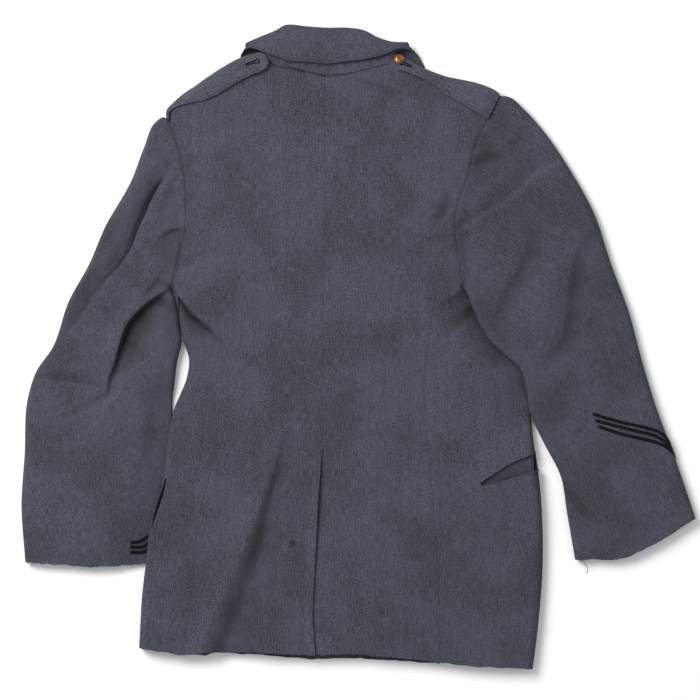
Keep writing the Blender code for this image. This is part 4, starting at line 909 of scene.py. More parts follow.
def wool_twill(name, shade=1.0, worn=0.26, stain=None):
    """Wool serge, woven as a twill of blue and grey yarns: matt, heathered cloth with fine upright flecks, a
    short nap that glows a little at its edges, darker, greener patches where it has been handled, and painted
    shade, darker and greener, in its folds, creases and seams."""
    colours = bpy.context.scene.coat_colours
    material = new_material(name)
    tree = material.node_tree
    grain = add(tree, "UVMap", uv_map="grain")
    place = add(tree, "TexCoord").outputs["Object"]
    painted_shading = add(tree, "Attribute", attribute_name="painted_shading").outputs["Fac"]
    flecks = add(tree, "Mapping", {"Vector": grain, "Scale": (1 / FLECK_WIDTH, 1 / FLECK_LENGTH, 1)})
    fleck = add(tree, "TexNoise", {"Vector": flecks, "Scale": 1.0, "Detail": 2.0, "Roughness": 0.6})
    fibres = add(tree, "Mapping", {"Vector": grain, "Scale": (1 / FIBRE, 0.8 / FIBRE, 1)})
    fibre = add(tree, "TexNoise", {"Vector": fibres, "Scale": 1.0, "Detail": 1.0, "Roughness": 0.5})
    bars = add(tree, "Mapping", {"Vector": grain, "Scale": (1 / YARN_BAR, 0.05 / YARN_BAR, 1)})
    bar = add(tree, "TexNoise", {"Vector": bars, "Scale": 1.0})
    cloud = add(tree, "TexNoise", {"Vector": place, "Scale": 1 / CLOUD, "Detail": 3.0, "Roughness": 0.55})
    wales = add(tree, "Mapping", {"Vector": grain, "Scale": (1 / WALE, 1 / WALE, 1),
                                  "Rotation": (0, 0, math.radians(27))})
    wale = add(tree, "TexWave", {"Vector": wales, "Scale": WAVE_SCALE, "Distortion": 1.2,
                                 "Detail": 1.0}).outputs["Fac"]
    half_fibre = add(tree, "Math", {0: fibre, 1: 0.75}, operation="MULTIPLY")
    yarn = add(tree, "Math", {0: fleck, 1: 0.5, 2: half_fibre}, operation="MULTIPLY_ADD")
    heather = add(tree, "ValToRGB", {"Fac": yarn}, ((0.52, colours.dark_yarn), (0.73, colours.blue_yarn)))
    cloudy = add(tree, "ValToRGB", {"Fac": cloud}, ((0.38, colours.worn), (0.60, colours.blue_yarn)))
    # Painted shade: where the painted shading is low, the cloth takes more of its greener, worn patches
    painted_shade = add(tree, "MapRange", {"Value": painted_shading, "From Min": -14.0, "From Max": 2.0, "To Min": 0.8,
                                    "To Max": worn})
    mixed = add(tree, "Mix", {0: painted_shade, 6: heather, 7: cloudy}, data_type="RGBA").outputs[2]
    striped = add(tree, "MapRange", {"Value": bar, "From Min": 0.3, "From Max": 0.7, "To Min": 0.94,
                                     "To Max": 1.06})
    ribbed = add(tree, "MapRange", {"Value": wale, "To Min": 0.94, "To Max": 1.05})
    # Painted shade and light: the cloth darker where its painted shading is low and lighter where it is high
    painted_brightness = add(tree, "MapRange", {"Value": painted_shading, "From Min": -28.0, "From Max": 4.0, "To Min": 0.24 * shade,
                                    "To Max": 1.10 * shade})
    light = add(tree, "Math", {0: striped, 1: ribbed}, operation="MULTIPLY")
    light = add(tree, "Math", {0: light, 1: painted_brightness}, operation="MULTIPLY")
    if stain:
        x, y, radius = stain
        away = add(tree, "VectorMath", {0: place, 1: (x * MM, y * MM, BODY_ROOF * MM)},
                   operation="DISTANCE").outputs["Value"]
        soiled = add(tree, "MapRange", {"Value": away, "From Min": 0.5 * radius * MM,
                                        "From Max": 1.5 * radius * MM, "To Min": 0.5})
        light = add(tree, "Math", {0: light, 1: soiled}, operation="MULTIPLY")
    lit = add(tree, "VectorMath", {0: mixed, "Scale": light}, operation="SCALE")
    height = add(tree, "Math", {0: wale, 1: fibre}, operation="ADD")
    bump = add(tree, "Bump", {"Height": height, "Strength": 0.35, "Distance": 0.35 * MM})
    shader = add(tree, "BsdfPrincipled", {
        "Base Color": lit, "Normal": bump, "Roughness": 0.92, "Sheen Weight": 0.16, "Sheen Roughness": 0.45,
        "Sheen Tint": (*linear("#8A8B92"), 1), "Specular IOR Level": 0.2, "IOR": 1.5})
    add(tree, "OutputMaterial", {"Surface": shader})
    return material


def soutache(name):
    """Soutache of black rayon, braided round two cores: dark, slightly silky, with a slanting rib on each
    core."""
    braid = bpy.context.scene.coat_colours.braid
    material = new_material(name)
    tree = material.node_tree
    grain = add(tree, "UVMap", uv_map="grain")
    # The ribs' real pitch is 0.9 mm, drawn coarser so that they can be seen
    pitch = 1 / (1.3 * MM)
    lay = add(tree, "Mapping", {"Vector": grain, "Scale": (pitch, pitch, 1),
                                "Rotation": (0, 0, math.radians(40))})
    rib = add(tree, "TexWave", {"Vector": lay, "Scale": WAVE_SCALE, "Distortion": 0.6}).outputs["Fac"]
    dust = add(tree, "TexNoise", {"Vector": grain, "Scale": 1 / (2.5 * MM)})
    both = add(tree, "Math", {0: rib, 1: dust}, operation="MULTIPLY")
    dyed = add(tree, "ValToRGB", {"Fac": both}, ((0.05, times(braid, 0.55)), (0.6, times(braid, 1.9))))
    bump = add(tree, "Bump", {"Height": rib, "Strength": 0.6, "Distance": 0.3 * MM})
    shader = add(tree, "BsdfPrincipled", {"Base Color": dyed, "Normal": bump, "Roughness": 0.7,
                                          "Sheen Weight": 0.02, "Specular IOR Level": 0.12, "IOR": 1.5})
    add(tree, "OutputMaterial", {"Surface": shader})
    return material


def twisted_thread(name, shade):
    """Twisted cotton thread: matt, with the slant of its plies."""
    material = new_material(name)
    tree = material.node_tree
    place = add(tree, "TexCoord").outputs["Object"]
    ply = add(tree, "TexWave", {"Vector": place, "Scale": WAVE_SCALE / (0.6 * MM), "Distortion": 1.0},
              bands_direction="DIAGONAL").outputs["Fac"]
    shaded = add(tree, "ValToRGB", {"Fac": ply}, ((0.2, times(shade, 0.7)), (0.9, times(shade, 1.35))))
    shader = add(tree, "BsdfPrincipled", {"Base Color": shaded, "Roughness": 0.85,
                                          "Specular IOR Level": 0.15, "IOR": 1.5})
    add(tree, "OutputMaterial", {"Surface": shader})
    return material


def aged_brass(name):
    """Stamped brass that was gilded once: warm metal, rubbed bright on top and brown in its hollows."""
    brass = bpy.context.scene.coat_colours.brass
    material = new_material(name)
    tree = material.node_tree
    place = add(tree, "TexCoord").outputs["Object"]
    tarnish = add(tree, "TexNoise", {"Vector": place, "Scale": 1 / (3.2 * MM), "Detail": 4.0,
                                     "Roughness": 0.65})
    metal = add(tree, "ValToRGB", {"Fac": tarnish},
                ((0.34, times(brass, 0.28)), (0.52, brass), (0.75, linear("#B08850"))))
    rough = add(tree, "MapRange", {"Value": tarnish, "From Min": 0.3, "From Max": 0.7, "To Min": 0.55,
                                   "To Max": 0.34})
    bump = add(tree, "Bump", {"Height": tarnish, "Strength": 0.25, "Distance": 0.15 * MM})
    shader = add(tree, "BsdfPrincipled", {"Base Color": metal, "Roughness": rough, "Normal": bump,
                                          "Metallic": 1.0})
    add(tree, "OutputMaterial", {"Surface": shader})
    return material

def declare(shell, name, material):
    """Puts a sheet of cloth in the place of its solid."""
    piece = shell.make(f"{name}_cloth", material)
    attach(piece, "root")
    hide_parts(name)


def trim(shell, name, material, node=None):
    """Fixes a trim piece to the coat, in the place of its solid if it has one."""
    piece = shell.make(name, material)
    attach(piece, "root")
    if node:
        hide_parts(node)


def both_halves():
    return [Side("left"), Side("right")]


HEM_WANDER, CUFF_WANDER = 1.0, 2.1
VENT_TOP = VENT_EDGE[0][1]
BACK_WIDTH, FRONT_WIDTH = 205.0, 250.0
# The share of the waves that cloth keeps where the coat's weight lies on it
PRESSED, PRESSED_SLEEVE = 0.5, 0.4
FRONT_HEM_SHARE = 0.1


# An edge's unevenness: size of a wave, number of waves, the first one, and their share
WANDER = ((9, 400, 100, 0.7), (2.5, 1200, 300, 0.3))
CALM_LEVEL, CALM_FADE = 8.0, 10.0


def wander(x, amount, seed):
    """An edge's small unevenness, as an offset for each place along it."""
    random = np.random.default_rng(seed)
    total = 0
    for size, count, first, share in WANDER:
        knots = random.uniform(-1, 1, count)
        total = total + share * np.interp(np.mod(x / size + first, count - 1), np.arange(count), knots)
    return amount * total


def calm_at(height):
    """How freely the cloth waves at a height: not where a tube turns over."""
    return fade((height - CALM_LEVEL) / CALM_FADE)


def joined(below, above):
    """One net of a lower and an upper one that share their first column, on a ridge."""
    return np.concatenate([below[:, ::-1], above[:, 1:]], axis=1)


def back_piece(half, step):
    middle = middle_line(CENTRE_SEAM + VENT_EDGE[1:], half.armhole.rows[2, 1])
    edges = panel_edges(half, middle, half.back_neck, VENT_EDGE[-1][0])
    rows = panel_rows(step)
    net = patch(*edges, np.linspace(0, 1, cells(BACK_WIDTH, step) + 1), rows)
    draw_in(net, ("first row", "first column"))
    net[-1, :, 1] += wander(net[-1, :, 0], HEM_WANDER, 5)
    open_vent = fade((VENT_TOP - net[:, -1, 1]) / VENT_EASE)
    drop = np.zeros(net.shape[:2])
    cut = None
    if half.name == "left":
        net[:, -1, 0] -= SEAM_CRACK
    else:
        net[:, -1, 0] += SEAM_CRACK
        last = net.shape[1] - 1
        inset = (net[..., 0] - net[:, -1:, 0]) - VENT_STEP_START
        drop = VENT_DROP * open_vent[:, None] * (1 - fade(inset / (VENT_STEP_END - VENT_STEP_START)))
        net = lap(net, -np.arange(0, VENT_UNDERLAP, step))
        extra = net.shape[1] - 1 - last
        drop = np.pad(drop, ((0, 0), (0, extra)), mode="edge")
        cut = np.zeros((net.shape[0] - 1, net.shape[1] - 1), bool)
        cut[net[:-1, last, 1] > VENT_TOP - VENT_EASE, last:] = True
    height, out = BODY.layer(net, 1)
    folds = creases("body", f"{half.name} back")
    points, painted_shading = dressed(net, height - drop, out, folds, seam_lines("body"), calm_at(height))
    return cloth_shell(points, net, painted_shading, cut, facing=1 if half.name == "right" else -1)


def front_piece(half, step):
    top = half.front_neck.rows[-1]
    middle = middle_line((top, FRONT_EDGE[1]), half.armhole.rows[2, 1])
    edges = panel_edges(half, middle, half.front_neck, FRONT_EDGE[1][0])
    rows = panel_rows(step)
    net = patch(*edges, np.linspace(0, 1, cells(FRONT_WIDTH, step) + 1), rows)
    table = np.array(FRONT_HEM, float)
    near_hem = fade((rows - 1 + FRONT_HEM_SHARE) / FRONT_HEM_SHARE)[:, None]
    net[..., 1] -= np.interp(net[..., 0], *table.T) * near_hem
    draw_in(net, ("first row", "first column"))
    net[-1, :, 1] += wander(net[-1, :, 0], HEM_WANDER, 6)
    lift = np.zeros(net.shape[:2])
    if half.name == "right":
        inset = (net[..., 0] - net[:, -1:, 0]) - FRONT_STEP_START
        lift = FRONT_OVERLAP_LIFT * (1 - fade(inset / (FRONT_STEP_END - FRONT_STEP_START)))
        last = net.shape[1]
        net = lap(net, -np.arange(0, FRONT_OVERLAP, step))
        lift = np.pad(lift, ((0, 0), (0, net.shape[1] - last)), mode="edge")
    height, out = BODY.layer(net, -1)
    points, painted_shading = dressed(net, height + lift, out, creases("front"), seam_lines("body"), PRESSED, True)
    points[..., 2] = np.maximum(points[..., 2], 0)
    return cloth_shell(points, net, painted_shading, facing=-1 if half.name == "right" else 1)


MOUTH_BEND, MOUTH_SPREAD, MOUTH_OPENING = 60.0, 16.0, 8.0
# The rows bend towards the mouth from this far before its start, over this stretch
BEND_START, BEND_EASE = 70.0, 60.0
LIP_REACH, LIP_START, LIP_SPREAD, LIP_EASE = 3.0, 190.0, 26.0, 30.0
LEFT_SLIT_INSET, LEFT_SLIT_WIDTH, LEFT_SLIT_SPREAD, LEFT_SLIT_ROUND = 5.0, 3.4, 9.0, 0.7
# How much of the slit's width its two sides take
SLIT_PUSH, SLIT_PULL = 0.75, 0.25
# Below the one height the right side body is thin and bare, and over the next stretch it takes its creases
THIN_LEVEL, THIN_FADE = 9.0, 7.0
# The way round a side body's turn over the way across it in plan
LOWER_EASE, UPPER_EASE = 1.1, 1.05


def open_right_mouth(above, below):
    """Bends the rows of the right side body to the pocket's mouth, and parts them there."""
    upper, lower = np.array(RIGHT_UPPER_LIP, float), np.array(RIGHT_LOWER_LIP, float)
    start = RIGHT_UPPER_LIP[1][0]
    x = above[..., 0]
    middle = (np.interp(x, *upper.T) + np.interp(x, *lower.T)) / 2
    gap = (np.interp(x, *upper.T) - np.interp(x, *lower.T)) * fade((x - start) / MOUTH_OPENING + 0.5)
    slit = int(np.abs(above[:, 0, 1] - middle[:, 0]).argmin())
    bend = (middle[slit] - above[slit, :, 1]) * fade((x[slit] - start + BEND_START) / BEND_EASE)
    rows = np.arange(len(above))[:, None]
    distance = above[..., 1] - above[slit:slit + 1, :, 1]
    above[..., 1] += bend * np.exp(-(distance / MOUTH_BEND) ** 2)
    part = np.where(rows <= slit, 0.5, -0.5) * gap[slit] * np.exp(-np.abs(distance) / MOUTH_SPREAD)
    above[..., 1] += part
    lip = np.where(rows > slit, LIP_REACH, 0.0) * np.exp(-np.abs(distance[:, :1]) / LIP_SPREAD)
    above[..., 0] += lip * fade((x - LIP_START) / LIP_EASE)
    below[..., 0] += lip * fade((below[..., 0] - LIP_START) / LIP_EASE)
    toward = 1 - fade(np.abs(below[..., 0] - below[:, :1, 0]) / LIP_EASE)
    below[..., 1] += (above[:, 0, 1] - below[:, 0, 1])[:, None] * toward
    cut = np.zeros((above.shape[0] - 1, above.shape[1] - 1), bool)
    cut[slit] = (above[slit, :-1, 0] > start) & (above[slit, 1:, 0] > start)
    return cut


def open_left_mouth(above, away):
    """Parts the columns of the left side body along the pocket's slit, just inside the ridge."""
    top, bottom = LEFT_MOUTH
    column = int(np.abs(away[0] - LEFT_SLIT_INSET).argmin())
    y = above[:, column, 1]
    along = np.clip((top - y) / (top - bottom), 0, 1)
    width = LEFT_SLIT_WIDTH * np.sin(math.pi * along) ** LEFT_SLIT_ROUND
    after = np.arange(above.shape[1]) > column
    distance = np.abs(away - away[:, column:column + 1])
    push = np.where(after, SLIT_PUSH, -SLIT_PULL) * width[:, None] * np.exp(-distance / LEFT_SLIT_SPREAD)
    push[:, 0] = 0
    above[..., 0] += push
    cut = np.zeros((above.shape[0] - 1, above.shape[1] - 1), bool)
    cut[:, column] = ((along > 0) & (along < 1))[:-1]
    return cut


def side_piece(half, fine, plain):
    rows = np.linspace(0, 1, cells(half.seam.length, fine) + 1)
    ridge_rows, seam_rows = Chain([half.ridge], (0, 1)), Chain([half.seam], (0, 1))
    levels = half.ridge(rows)
    radius = (levels[:, 3] - levels[:, 2]) / 2
    width = np.linalg.norm(ridge_rows(rows) - seam_rows(rows), axis=1)
    turn = cells(BODY_ROOF / 2 * math.pi / 2, TURN_STEP)
    top = stretch(half.armhole, 0, half.join)
    hem = hem_line(half.ridge.rows[-1, 0], half.seam.rows[-1, 0])
    nets, aways = [], []
    for step in (fine, plain):
        flat = cells((width - radius).max(), step)
        away = np.array([turned(r, w, turn, flat) for r, w in zip(radius, width)])
        away *= (width / away[:, -1])[:, None]
        nets.append(patch(ridge_rows, seam_rows, top, hem, away / width[:, None], rows))
        aways.append(away)
    above, below = nets
    cut = open_right_mouth(above, below) if half.name == "right" else open_left_mouth(above, aways[0])
    wandering = wander(above[-1, :, 0], HEM_WANDER, 7)
    above[-1, :, 1] += wandering
    below[-1, :, 1] += wandering[0]
    faces, painted_shadings = [], []
    for net, side, folds in ((below, -1, "front"), (above, 1, "body")):
        height, out = BODY.layer(net, side)
        calm = PRESSED if side < 0 else calm_at(height)
        points, painted_shading = dressed(net, height, out, creases(folds), seam_lines("body"), calm, side < 0)
        if side > 0 and half.name == "right":
            bare = np.dstack([net, height])
            points = bare + (points - bare) * fade((height - THIN_LEVEL) / THIN_FADE)[..., None]
        points[..., 2] = np.maximum(points[..., 2], 0)
        faces.append(points)
        painted_shadings.append(painted_shading)
    points, painted_shading = joined(*faces), joined(*painted_shadings)
    draw_in(points, ("first row", "first column", "last column"))
    lower, upper = (np.linspace(0, away[:, -1] * ease, away.shape[1], axis=1)
                    for away, ease in ((aways[1], LOWER_EASE), (aways[0], UPPER_EASE)))
    arcs = joined(-lower, upper)
    grain = np.dstack([arcs, np.broadcast_to(above[:, :1, 1], arcs.shape)])
    whole = np.zeros((points.shape[0] - 1, points.shape[1] - 1), bool)
    whole[:, faces[0].shape[1] - 1:] = cut
    return cloth_shell(points, grain, painted_shading, whole, allowance=2.5, facing=-1 if half.name == "left" else 1)


# A sleeve's seams, as shares of the armhole above its join with the side seam, and of the width further down
SLEEVE_SEAMS = {"left": {1: (0.2, 3 / 7), -1: (0.4, 4 / 7)}, "right": {1: (0.6, 5 / 7), -1: (0.2, 3 / 7)}}
SLEEVE_CUTS = {"left": ("under", "top"), "right": ("top", "under")}
SLEEVE_BLEND, STATION_FADE, TIP_TURN = 0.05, 0.25, 8.5
ARMHOLE_BULGE_FADE, CUFF_BULGE_FADE = 0.35, 0.2
TUCK, TUCK_RISE, TUCK_FALL = 6.0, 12.0, 8.0
ARMHOLE_CRACK = 0.2
SLEEVE_ROW_STRETCH = 1.15


def sleeve_net(half, across, rows):
    """Rows across the sleeve that take the armhole's bulge at its head and the cuff's at its end."""
    pit, tip = half.armhole(0.0)[:2], half.armhole(1.0)[:2]
    chord = tip - pit
    net = np.empty(across.shape + (2,))
    for k, row in enumerate(rows):
        u = across[k][:, None]
        net[k] = (1 - u) * half.inner(row)[:2] + u * half.outer(row)[:2]
        bulge = half.armhole(across[k])[:, :2] - (pit + u * chord)
        cuff = half.cuff(across[k])[:, :2] - ((1 - u) * half.cuff(0.0)[:2] + u * half.cuff(1.0)[:2])
        net[k] += bulge * (1 - fade(row / ARMHOLE_BULGE_FADE)) + cuff * fade((row - 1) / CUFF_BULGE_FADE + 1)
    return net


def seam_share(half, row, width, side):
    """Where the sleeve's seam on one layer lies, as a share of the width from its inner ridge."""
    head, run = SLEEVE_SEAMS[half.name][side]
    inner, outer = half.inner(row), half.outer(row)
    near, far = (inner[3] - inner[2]) / 2 / width, 1 - (outer[3] - outer[2]) / 2 / width
    end = 1 - TIP_TURN / half.armhole.length
    blend = 1 - fade(row / STATION_FADE)
    return blend * (half.join + (end - half.join) * head) + (1 - blend) * (near + (far - near) * run)


def sleeve_layer(half, net, rows, side):
    """Heights and outward directions on a sleeve, which takes the body's form at its head."""
    share = (1 - fade(rows / SLEEVE_BLEND))[:, None]
    height, out = half.sleeve.layer(net, side)
    body_height, body_out = BODY.layer(net[:1], side)
    height = share * body_height + (1 - share) * height
    out = share[..., None] * body_out + (1 - share[..., None]) * out
    return height, unit(out)


def tucked(half, net):
    """How far a sleeve sinks near its pit, where it would pass its armhole and lie in the body."""
    x, y, *_ = half.armhole(np.linspace(0, half.join, 20)).T
    past = np.clip(net[..., 0] - np.interp(net[..., 1], y, x), 0, TUCK)
    return past * fade((net[..., 1] - y[0] + TUCK_RISE) / TUCK_RISE) * fade((y[-1] - net[..., 1]) / TUCK_FALL)


def sleeve_piece(half, outer_ridge, fine, plain):
    """The part of a sleeve that turns over its outer or inner ridge, between the seams below and above."""
    rows = np.linspace(0, 1, cells(half.outer.length, fine * SLEEVE_ROW_STRETCH) + 1)
    line = half.outer if outer_ridge else half.inner
    widths = np.array([np.linalg.norm((half.inner(row) - half.outer(row))[:2]) for row in rows])
    seams = {side: np.array([seam_share(half, row, width, side) for row, width in zip(rows, widths)])
             for side in (1, -1)}
    levels = line(rows)
    radius = (levels[:, 3] - levels[:, 2]) / 2
    turn = cells(SLEEVE_ROOF / 2 * math.pi / 2, TURN_STEP)
    faces, painted_shadings, arcs = [], [], []
    name = f"{half.name} sleeve"
    for side, step in ((-1, plain), (1, fine)):
        reach = widths * (1 - seams[side] if outer_ridge else seams[side])
        away = np.array([turned(r, w, turn, cells(reach.max(), step)) for r, w in zip(radius, reach)])
        away *= (reach / away[:, -1])[:, None]
        across = away / widths[:, None]
        net = sleeve_net(half, 1 - across if outer_ridge else across, rows)
        frayed = wander(np.where(side > 0, 1, -1) * net[-1, :, 0], CUFF_WANDER, 8)
        net[-1, :, 1] += frayed
        height, out = sleeve_layer(half, net, rows, side)
        folds = creases(name) if side > 0 else creases("sleeve front")
        calm = calm_at(height) if side > 0 else PRESSED_SLEEVE
        if side > 0 and half.name == "left":
            height = height - tucked(half, net)
        points, painted_shading = dressed(net, height, out, folds, seam_lines(name), calm, side < 0)
        points[..., 2] = np.maximum(points[..., 2], 0)
        faces.append(points)
        painted_shadings.append(painted_shading)
        arcs.append(away)
    points, painted_shading = joined(*faces), joined(*painted_shadings)
    draw_in(points, ("first row",), ARMHOLE_CRACK)
    draw_in(points, ("first column", "last column"))
    arc = joined(-arcs[0], arcs[1]) * (1 if outer_ridge else -1)
    length = np.broadcast_to(rows[:, None] * half.outer.length, arc.shape)
    turned_over = (half.name == "left") == outer_ridge
    return cloth_shell(points, np.dstack([arc, length]), painted_shading, allowance=2.0, facing=-1 if turned_over else 1)


def around(line, middle, share, arc, height):
    """A point of a ridge's turn, at an arc from the ridge (plus is above) and a height off the cloth, and its
    normal. The middle lies on the cloth's side of the ridge."""
    x, y, floor, roof = line(share)
    ahead = unit(line(share + 0.01)[:2] - line(share - 0.01)[:2])
    inward = np.array([-ahead[1], ahead[0]])
    inward *= np.sign((np.array(middle) - (x, y)) @ inward)
    radius, level = (roof - floor) / 2, (roof + floor) / 2
    angle = np.clip(arc / radius, -math.pi / 2, math.pi / 2)
    flat = abs(arc) - abs(angle) * radius
    plan = np.array([x, y]) + inward * (radius - (radius + height) * math.cos(angle) + flat)
    normal = np.append(-inward * math.cos(angle), math.sin(angle))
    return np.append(plan, level + (radius + height) * math.sin(angle)), normal


STRAP_STEP = 1.2
# How the straps' edges stand off the shoulder: share of the shoulder, at the back edge, at the front edge
STRAP_STAND = {"left": ((0.0, 2.4, 0.3), (0.1, 1.4, 0.3), (0.35, 0.9, 0.2), (0.7, 1.2, 0.2),
                        (0.96, 1.4, 0.2)),
               "right": ((0.0, 0.2, 0.2), (0.4, 0.4, 0.2), (0.8, 0.7, 0.2), (0.96, 0.9, 0.2))}


STRAP_START, STRAP_END_SINK, STRAP_SINK_SHARE = 0.006, 1.5, 0.07
# The middle share of a strap's half width that lies flat, and its least half width at the round end's tip
STRAP_FLAT, STRAP_LEAST = 0.1, 0.04
# A strap's edges are pressed down over the last part of its half width
EDGE_PRESS, EDGE_START = 0.45, 0.82
STRAP_SPAN, TIP_CELLS, STRAP_LENGTH = 46, 28, 0.75
STRAP_WAVE, STRAP_WAVE_SIZE = 0.35, 1.6
# A strap's painted shading, and the painted shade along its edges and round its tip: amount, closeness to the
# edge, and the tip's share
STRAP_SHADE, STRAP_EDGE_SHADE, STRAP_EDGE_SHADE_POWER, STRAP_TIP_SHADE_SHARE = 0.6, 7.0, 24, 0.02


def strap_frame(half, share):
    """A strap's middle arc and half width at a share of the shoulder."""
    table = np.array(half.strap, float)
    back, front = (np.interp(share, table[:, 0], table[:, k]) for k in (1, 2))
    along = np.clip((share - table[-1, 0] + STRAP_END_ROUND) / STRAP_END_ROUND, 0, 1)
    return (back - front) / 2, (back + front) / 2 * max(math.sqrt(1 - along ** 2), STRAP_LEAST)


def strap_point(half, share, side, height=0.0):
    """A point on a strap's face. side runs from -1 at its front edge to 1 at its back edge."""
    middle, reach = strap_frame(half, share)
    stand = np.array(STRAP_STAND[half.name], float)
    back, front = (np.interp(share, stand[:, 0], stand[:, k]) for k in (1, 2))
    off = sum(most * fade((way - STRAP_FLAT) / (1 - STRAP_FLAT))
              for most, way in ((back, side), (front, -side)))
    edge = -EDGE_PRESS * fade((abs(side) - EDGE_START) / (1 - EDGE_START))
    end = STRAP_END_SINK * (1 - fade((share - STRAP_START) / STRAP_SINK_SHARE))
    height += STRAP_GAP + CLOTH + off + edge - end
    return around(half.shoulder, BODY_MIDDLE, share, middle + reach * side, height)


def strap_piece(half):
    first, last = STRAP_START, half.strap[-1][0]
    count = cells(half.shoulder.length * STRAP_LENGTH, STRAP_STEP)
    straight = np.linspace(first, last - STRAP_END_ROUND, count)
    tip = last - STRAP_END_ROUND * (1 - np.sin(np.linspace(0, math.pi / 2, TIP_CELLS)[1:]))
    shares = np.concatenate([straight, tip])
    sides = np.linspace(-1, 1, cells(STRAP_SPAN, STRAP_STEP) + 1)
    points = np.array([[strap_point(half, share, side)[0] for side in sides] for share in shares])
    reach = np.array([strap_frame(half, share)[1] for share in shares])
    along = np.broadcast_to(shares[:, None] * half.shoulder.length, points.shape[:2])
    grain = np.dstack([reach[:, None] * sides, along])
    points = points + net_normals(points) * (waves(points[..., :2] * STRAP_WAVE_SIZE) * STRAP_WAVE)[..., None]
    # Painted shade along the strap's edges and round its tip
    tip_end = np.clip((shares - last + STRAP_TIP_SHADE_SHARE) / STRAP_TIP_SHADE_SHARE, 0, 1)[:, None]
    painted_shading = STRAP_SHADE - STRAP_EDGE_SHADE * np.maximum(np.abs(sides)[None, :] ** STRAP_EDGE_SHADE_POWER, tip_end ** 3)
    return cloth_shell(points, grain, painted_shading, allowance=1.5, facing=1 if half.name == "left" else -1)

STAND_LEAVES, FALL_LEAVES, FALL_TURN_STEPS = 16, 24, 9
COLLAR_STATIONS = 320
# How far up its first strip the stand begins, how tall it is along its cloth, and its painted shading
STAND_START, STAND_HEIGHT, STAND_SHADE = 0.25, 30, -1.0


def neck_row(half, layer, share):
    line = half.back_neck if layer == "back" else half.front_neck
    plan = line(share)[None, :2]
    height, out = BODY.layer(plan, 1 if layer == "back" else -1)
    return np.append(plan[0], height[0]), out[0]


class CollarForm:
    """The neck seam, the roll and the fall's edge, all round the collar."""

    def __init__(self):
        named = {half.name: half for half in both_halves()}
        rows = []
        for name, layer, share, roll, edge in COLLAR:
            seam, out = neck_row(named[name], layer, share)
            rows.append(np.concatenate([seam, out, roll, edge]))
        line = Line(rows)
        number = np.linspace(0, len(rows) - 1, COLLAR_STATIONS)
        table = line(np.interp(number, np.arange(len(rows)), line.at))
        self.neck, leave, self.roll, self.edge = np.split(table, 4, axis=1)
        self.leave = unit(leave)
        self.rise = unit(self.roll - self.neck)
        self.along = np.gradient(self.roll, axis=0)
        self.stand = self.face_normal(self.rise)
        self.length = distances(self.roll)

    def face_normal(self, span):
        normal = unit(np.cross(self.along, span))
        return normal * np.sign((normal * self.leave).sum(1))[:, None]

    def stand_net(self):
        shares = np.linspace(0, 1, STAND_LEAVES)[:, None, None]
        lean = np.append(np.array(NECK_CENTRE), 0) - self.neck
        lean *= (1 - np.abs(self.leave[:, 2]))[:, None] / np.linalg.norm(lean[:, :2], axis=1)[:, None]
        net = self.neck + shares * (self.roll - self.neck) + STAND_LEAN * lean * (shares * (1 - shares) * 4)
        net[0] += (net[1] - net[0]) * STAND_START
        return net

    def fall_net(self):
        """The fall's net, from the stand over the roll to its edge, and how far down it each point lies."""
        middle = self.roll + self.rise * SEAM_GAP * 1.5 + self.stand * ROLL_GAP / 2
        net = []
        for angle in np.linspace(-math.pi / 2, math.pi / 2, FALL_TURN_STEPS):
            way = self.stand * math.sin(angle) + self.rise * math.cos(angle)
            net.append(middle + way * (CLOTH + ROLL_GAP / 2))
        last = net[-1]
        net += [last + share * (self.edge - last) for share in np.linspace(0, 1, FALL_LEAVES)[1:]]
        net = np.array(net)
        return net, distances(net)


# The fall's rows of stitching: how far from its edge, how deep they draw it in, and how wide
FALL_STITCH_ROWS, FALL_QUILT, FALL_QUILT_WIDTH = (2.2, 6.8), 0.35, 0.9
RUFFLE, RUFFLE_SIZE, RUFFLE_FADE = 0.35, 1.3, 4.0
# The fall's painted shading, and how much darker it is along its edge: amount, distance from the edge, width
FALL_SHADE, FALL_EDGE_DARKENING = 1, (2.4, 2, 2.5)


def bell(x, width):
    return np.exp(-(x / width) ** 2)


def fall_shell(form):
    net, down = form.fall_net()
    from_edge = down[-1] - down
    normal = net_normals(net)
    normal *= np.sign((normal[-1] * form.face_normal(net[-1] - net[-4])).sum(1))[None, :, None]
    sink = sum(FALL_QUILT * bell(from_edge - row, FALL_QUILT_WIDTH) for row in FALL_STITCH_ROWS)
    grain = np.dstack([np.broadcast_to(form.length, down.shape), down])
    ruffle = waves(grain * RUFFLE_SIZE) * RUFFLE
    net = net + normal * (ruffle * fade(from_edge / RUFFLE_FADE) - sink)[..., None]
    amount, place, width = FALL_EDGE_DARKENING
    painted_shading = FALL_SHADE - amount * bell(from_edge - place, width)
    return cloth_shell(net, grain, painted_shading, allowance=1.5, facing=-1)


THREAD_SIDES, THREAD_STEP = 5, 0.6
# A thread's width at its two ends, as a share
POINTED = 0.35
# How high over the coat a search for its upper face starts, in metres
RAY_START = 0.2


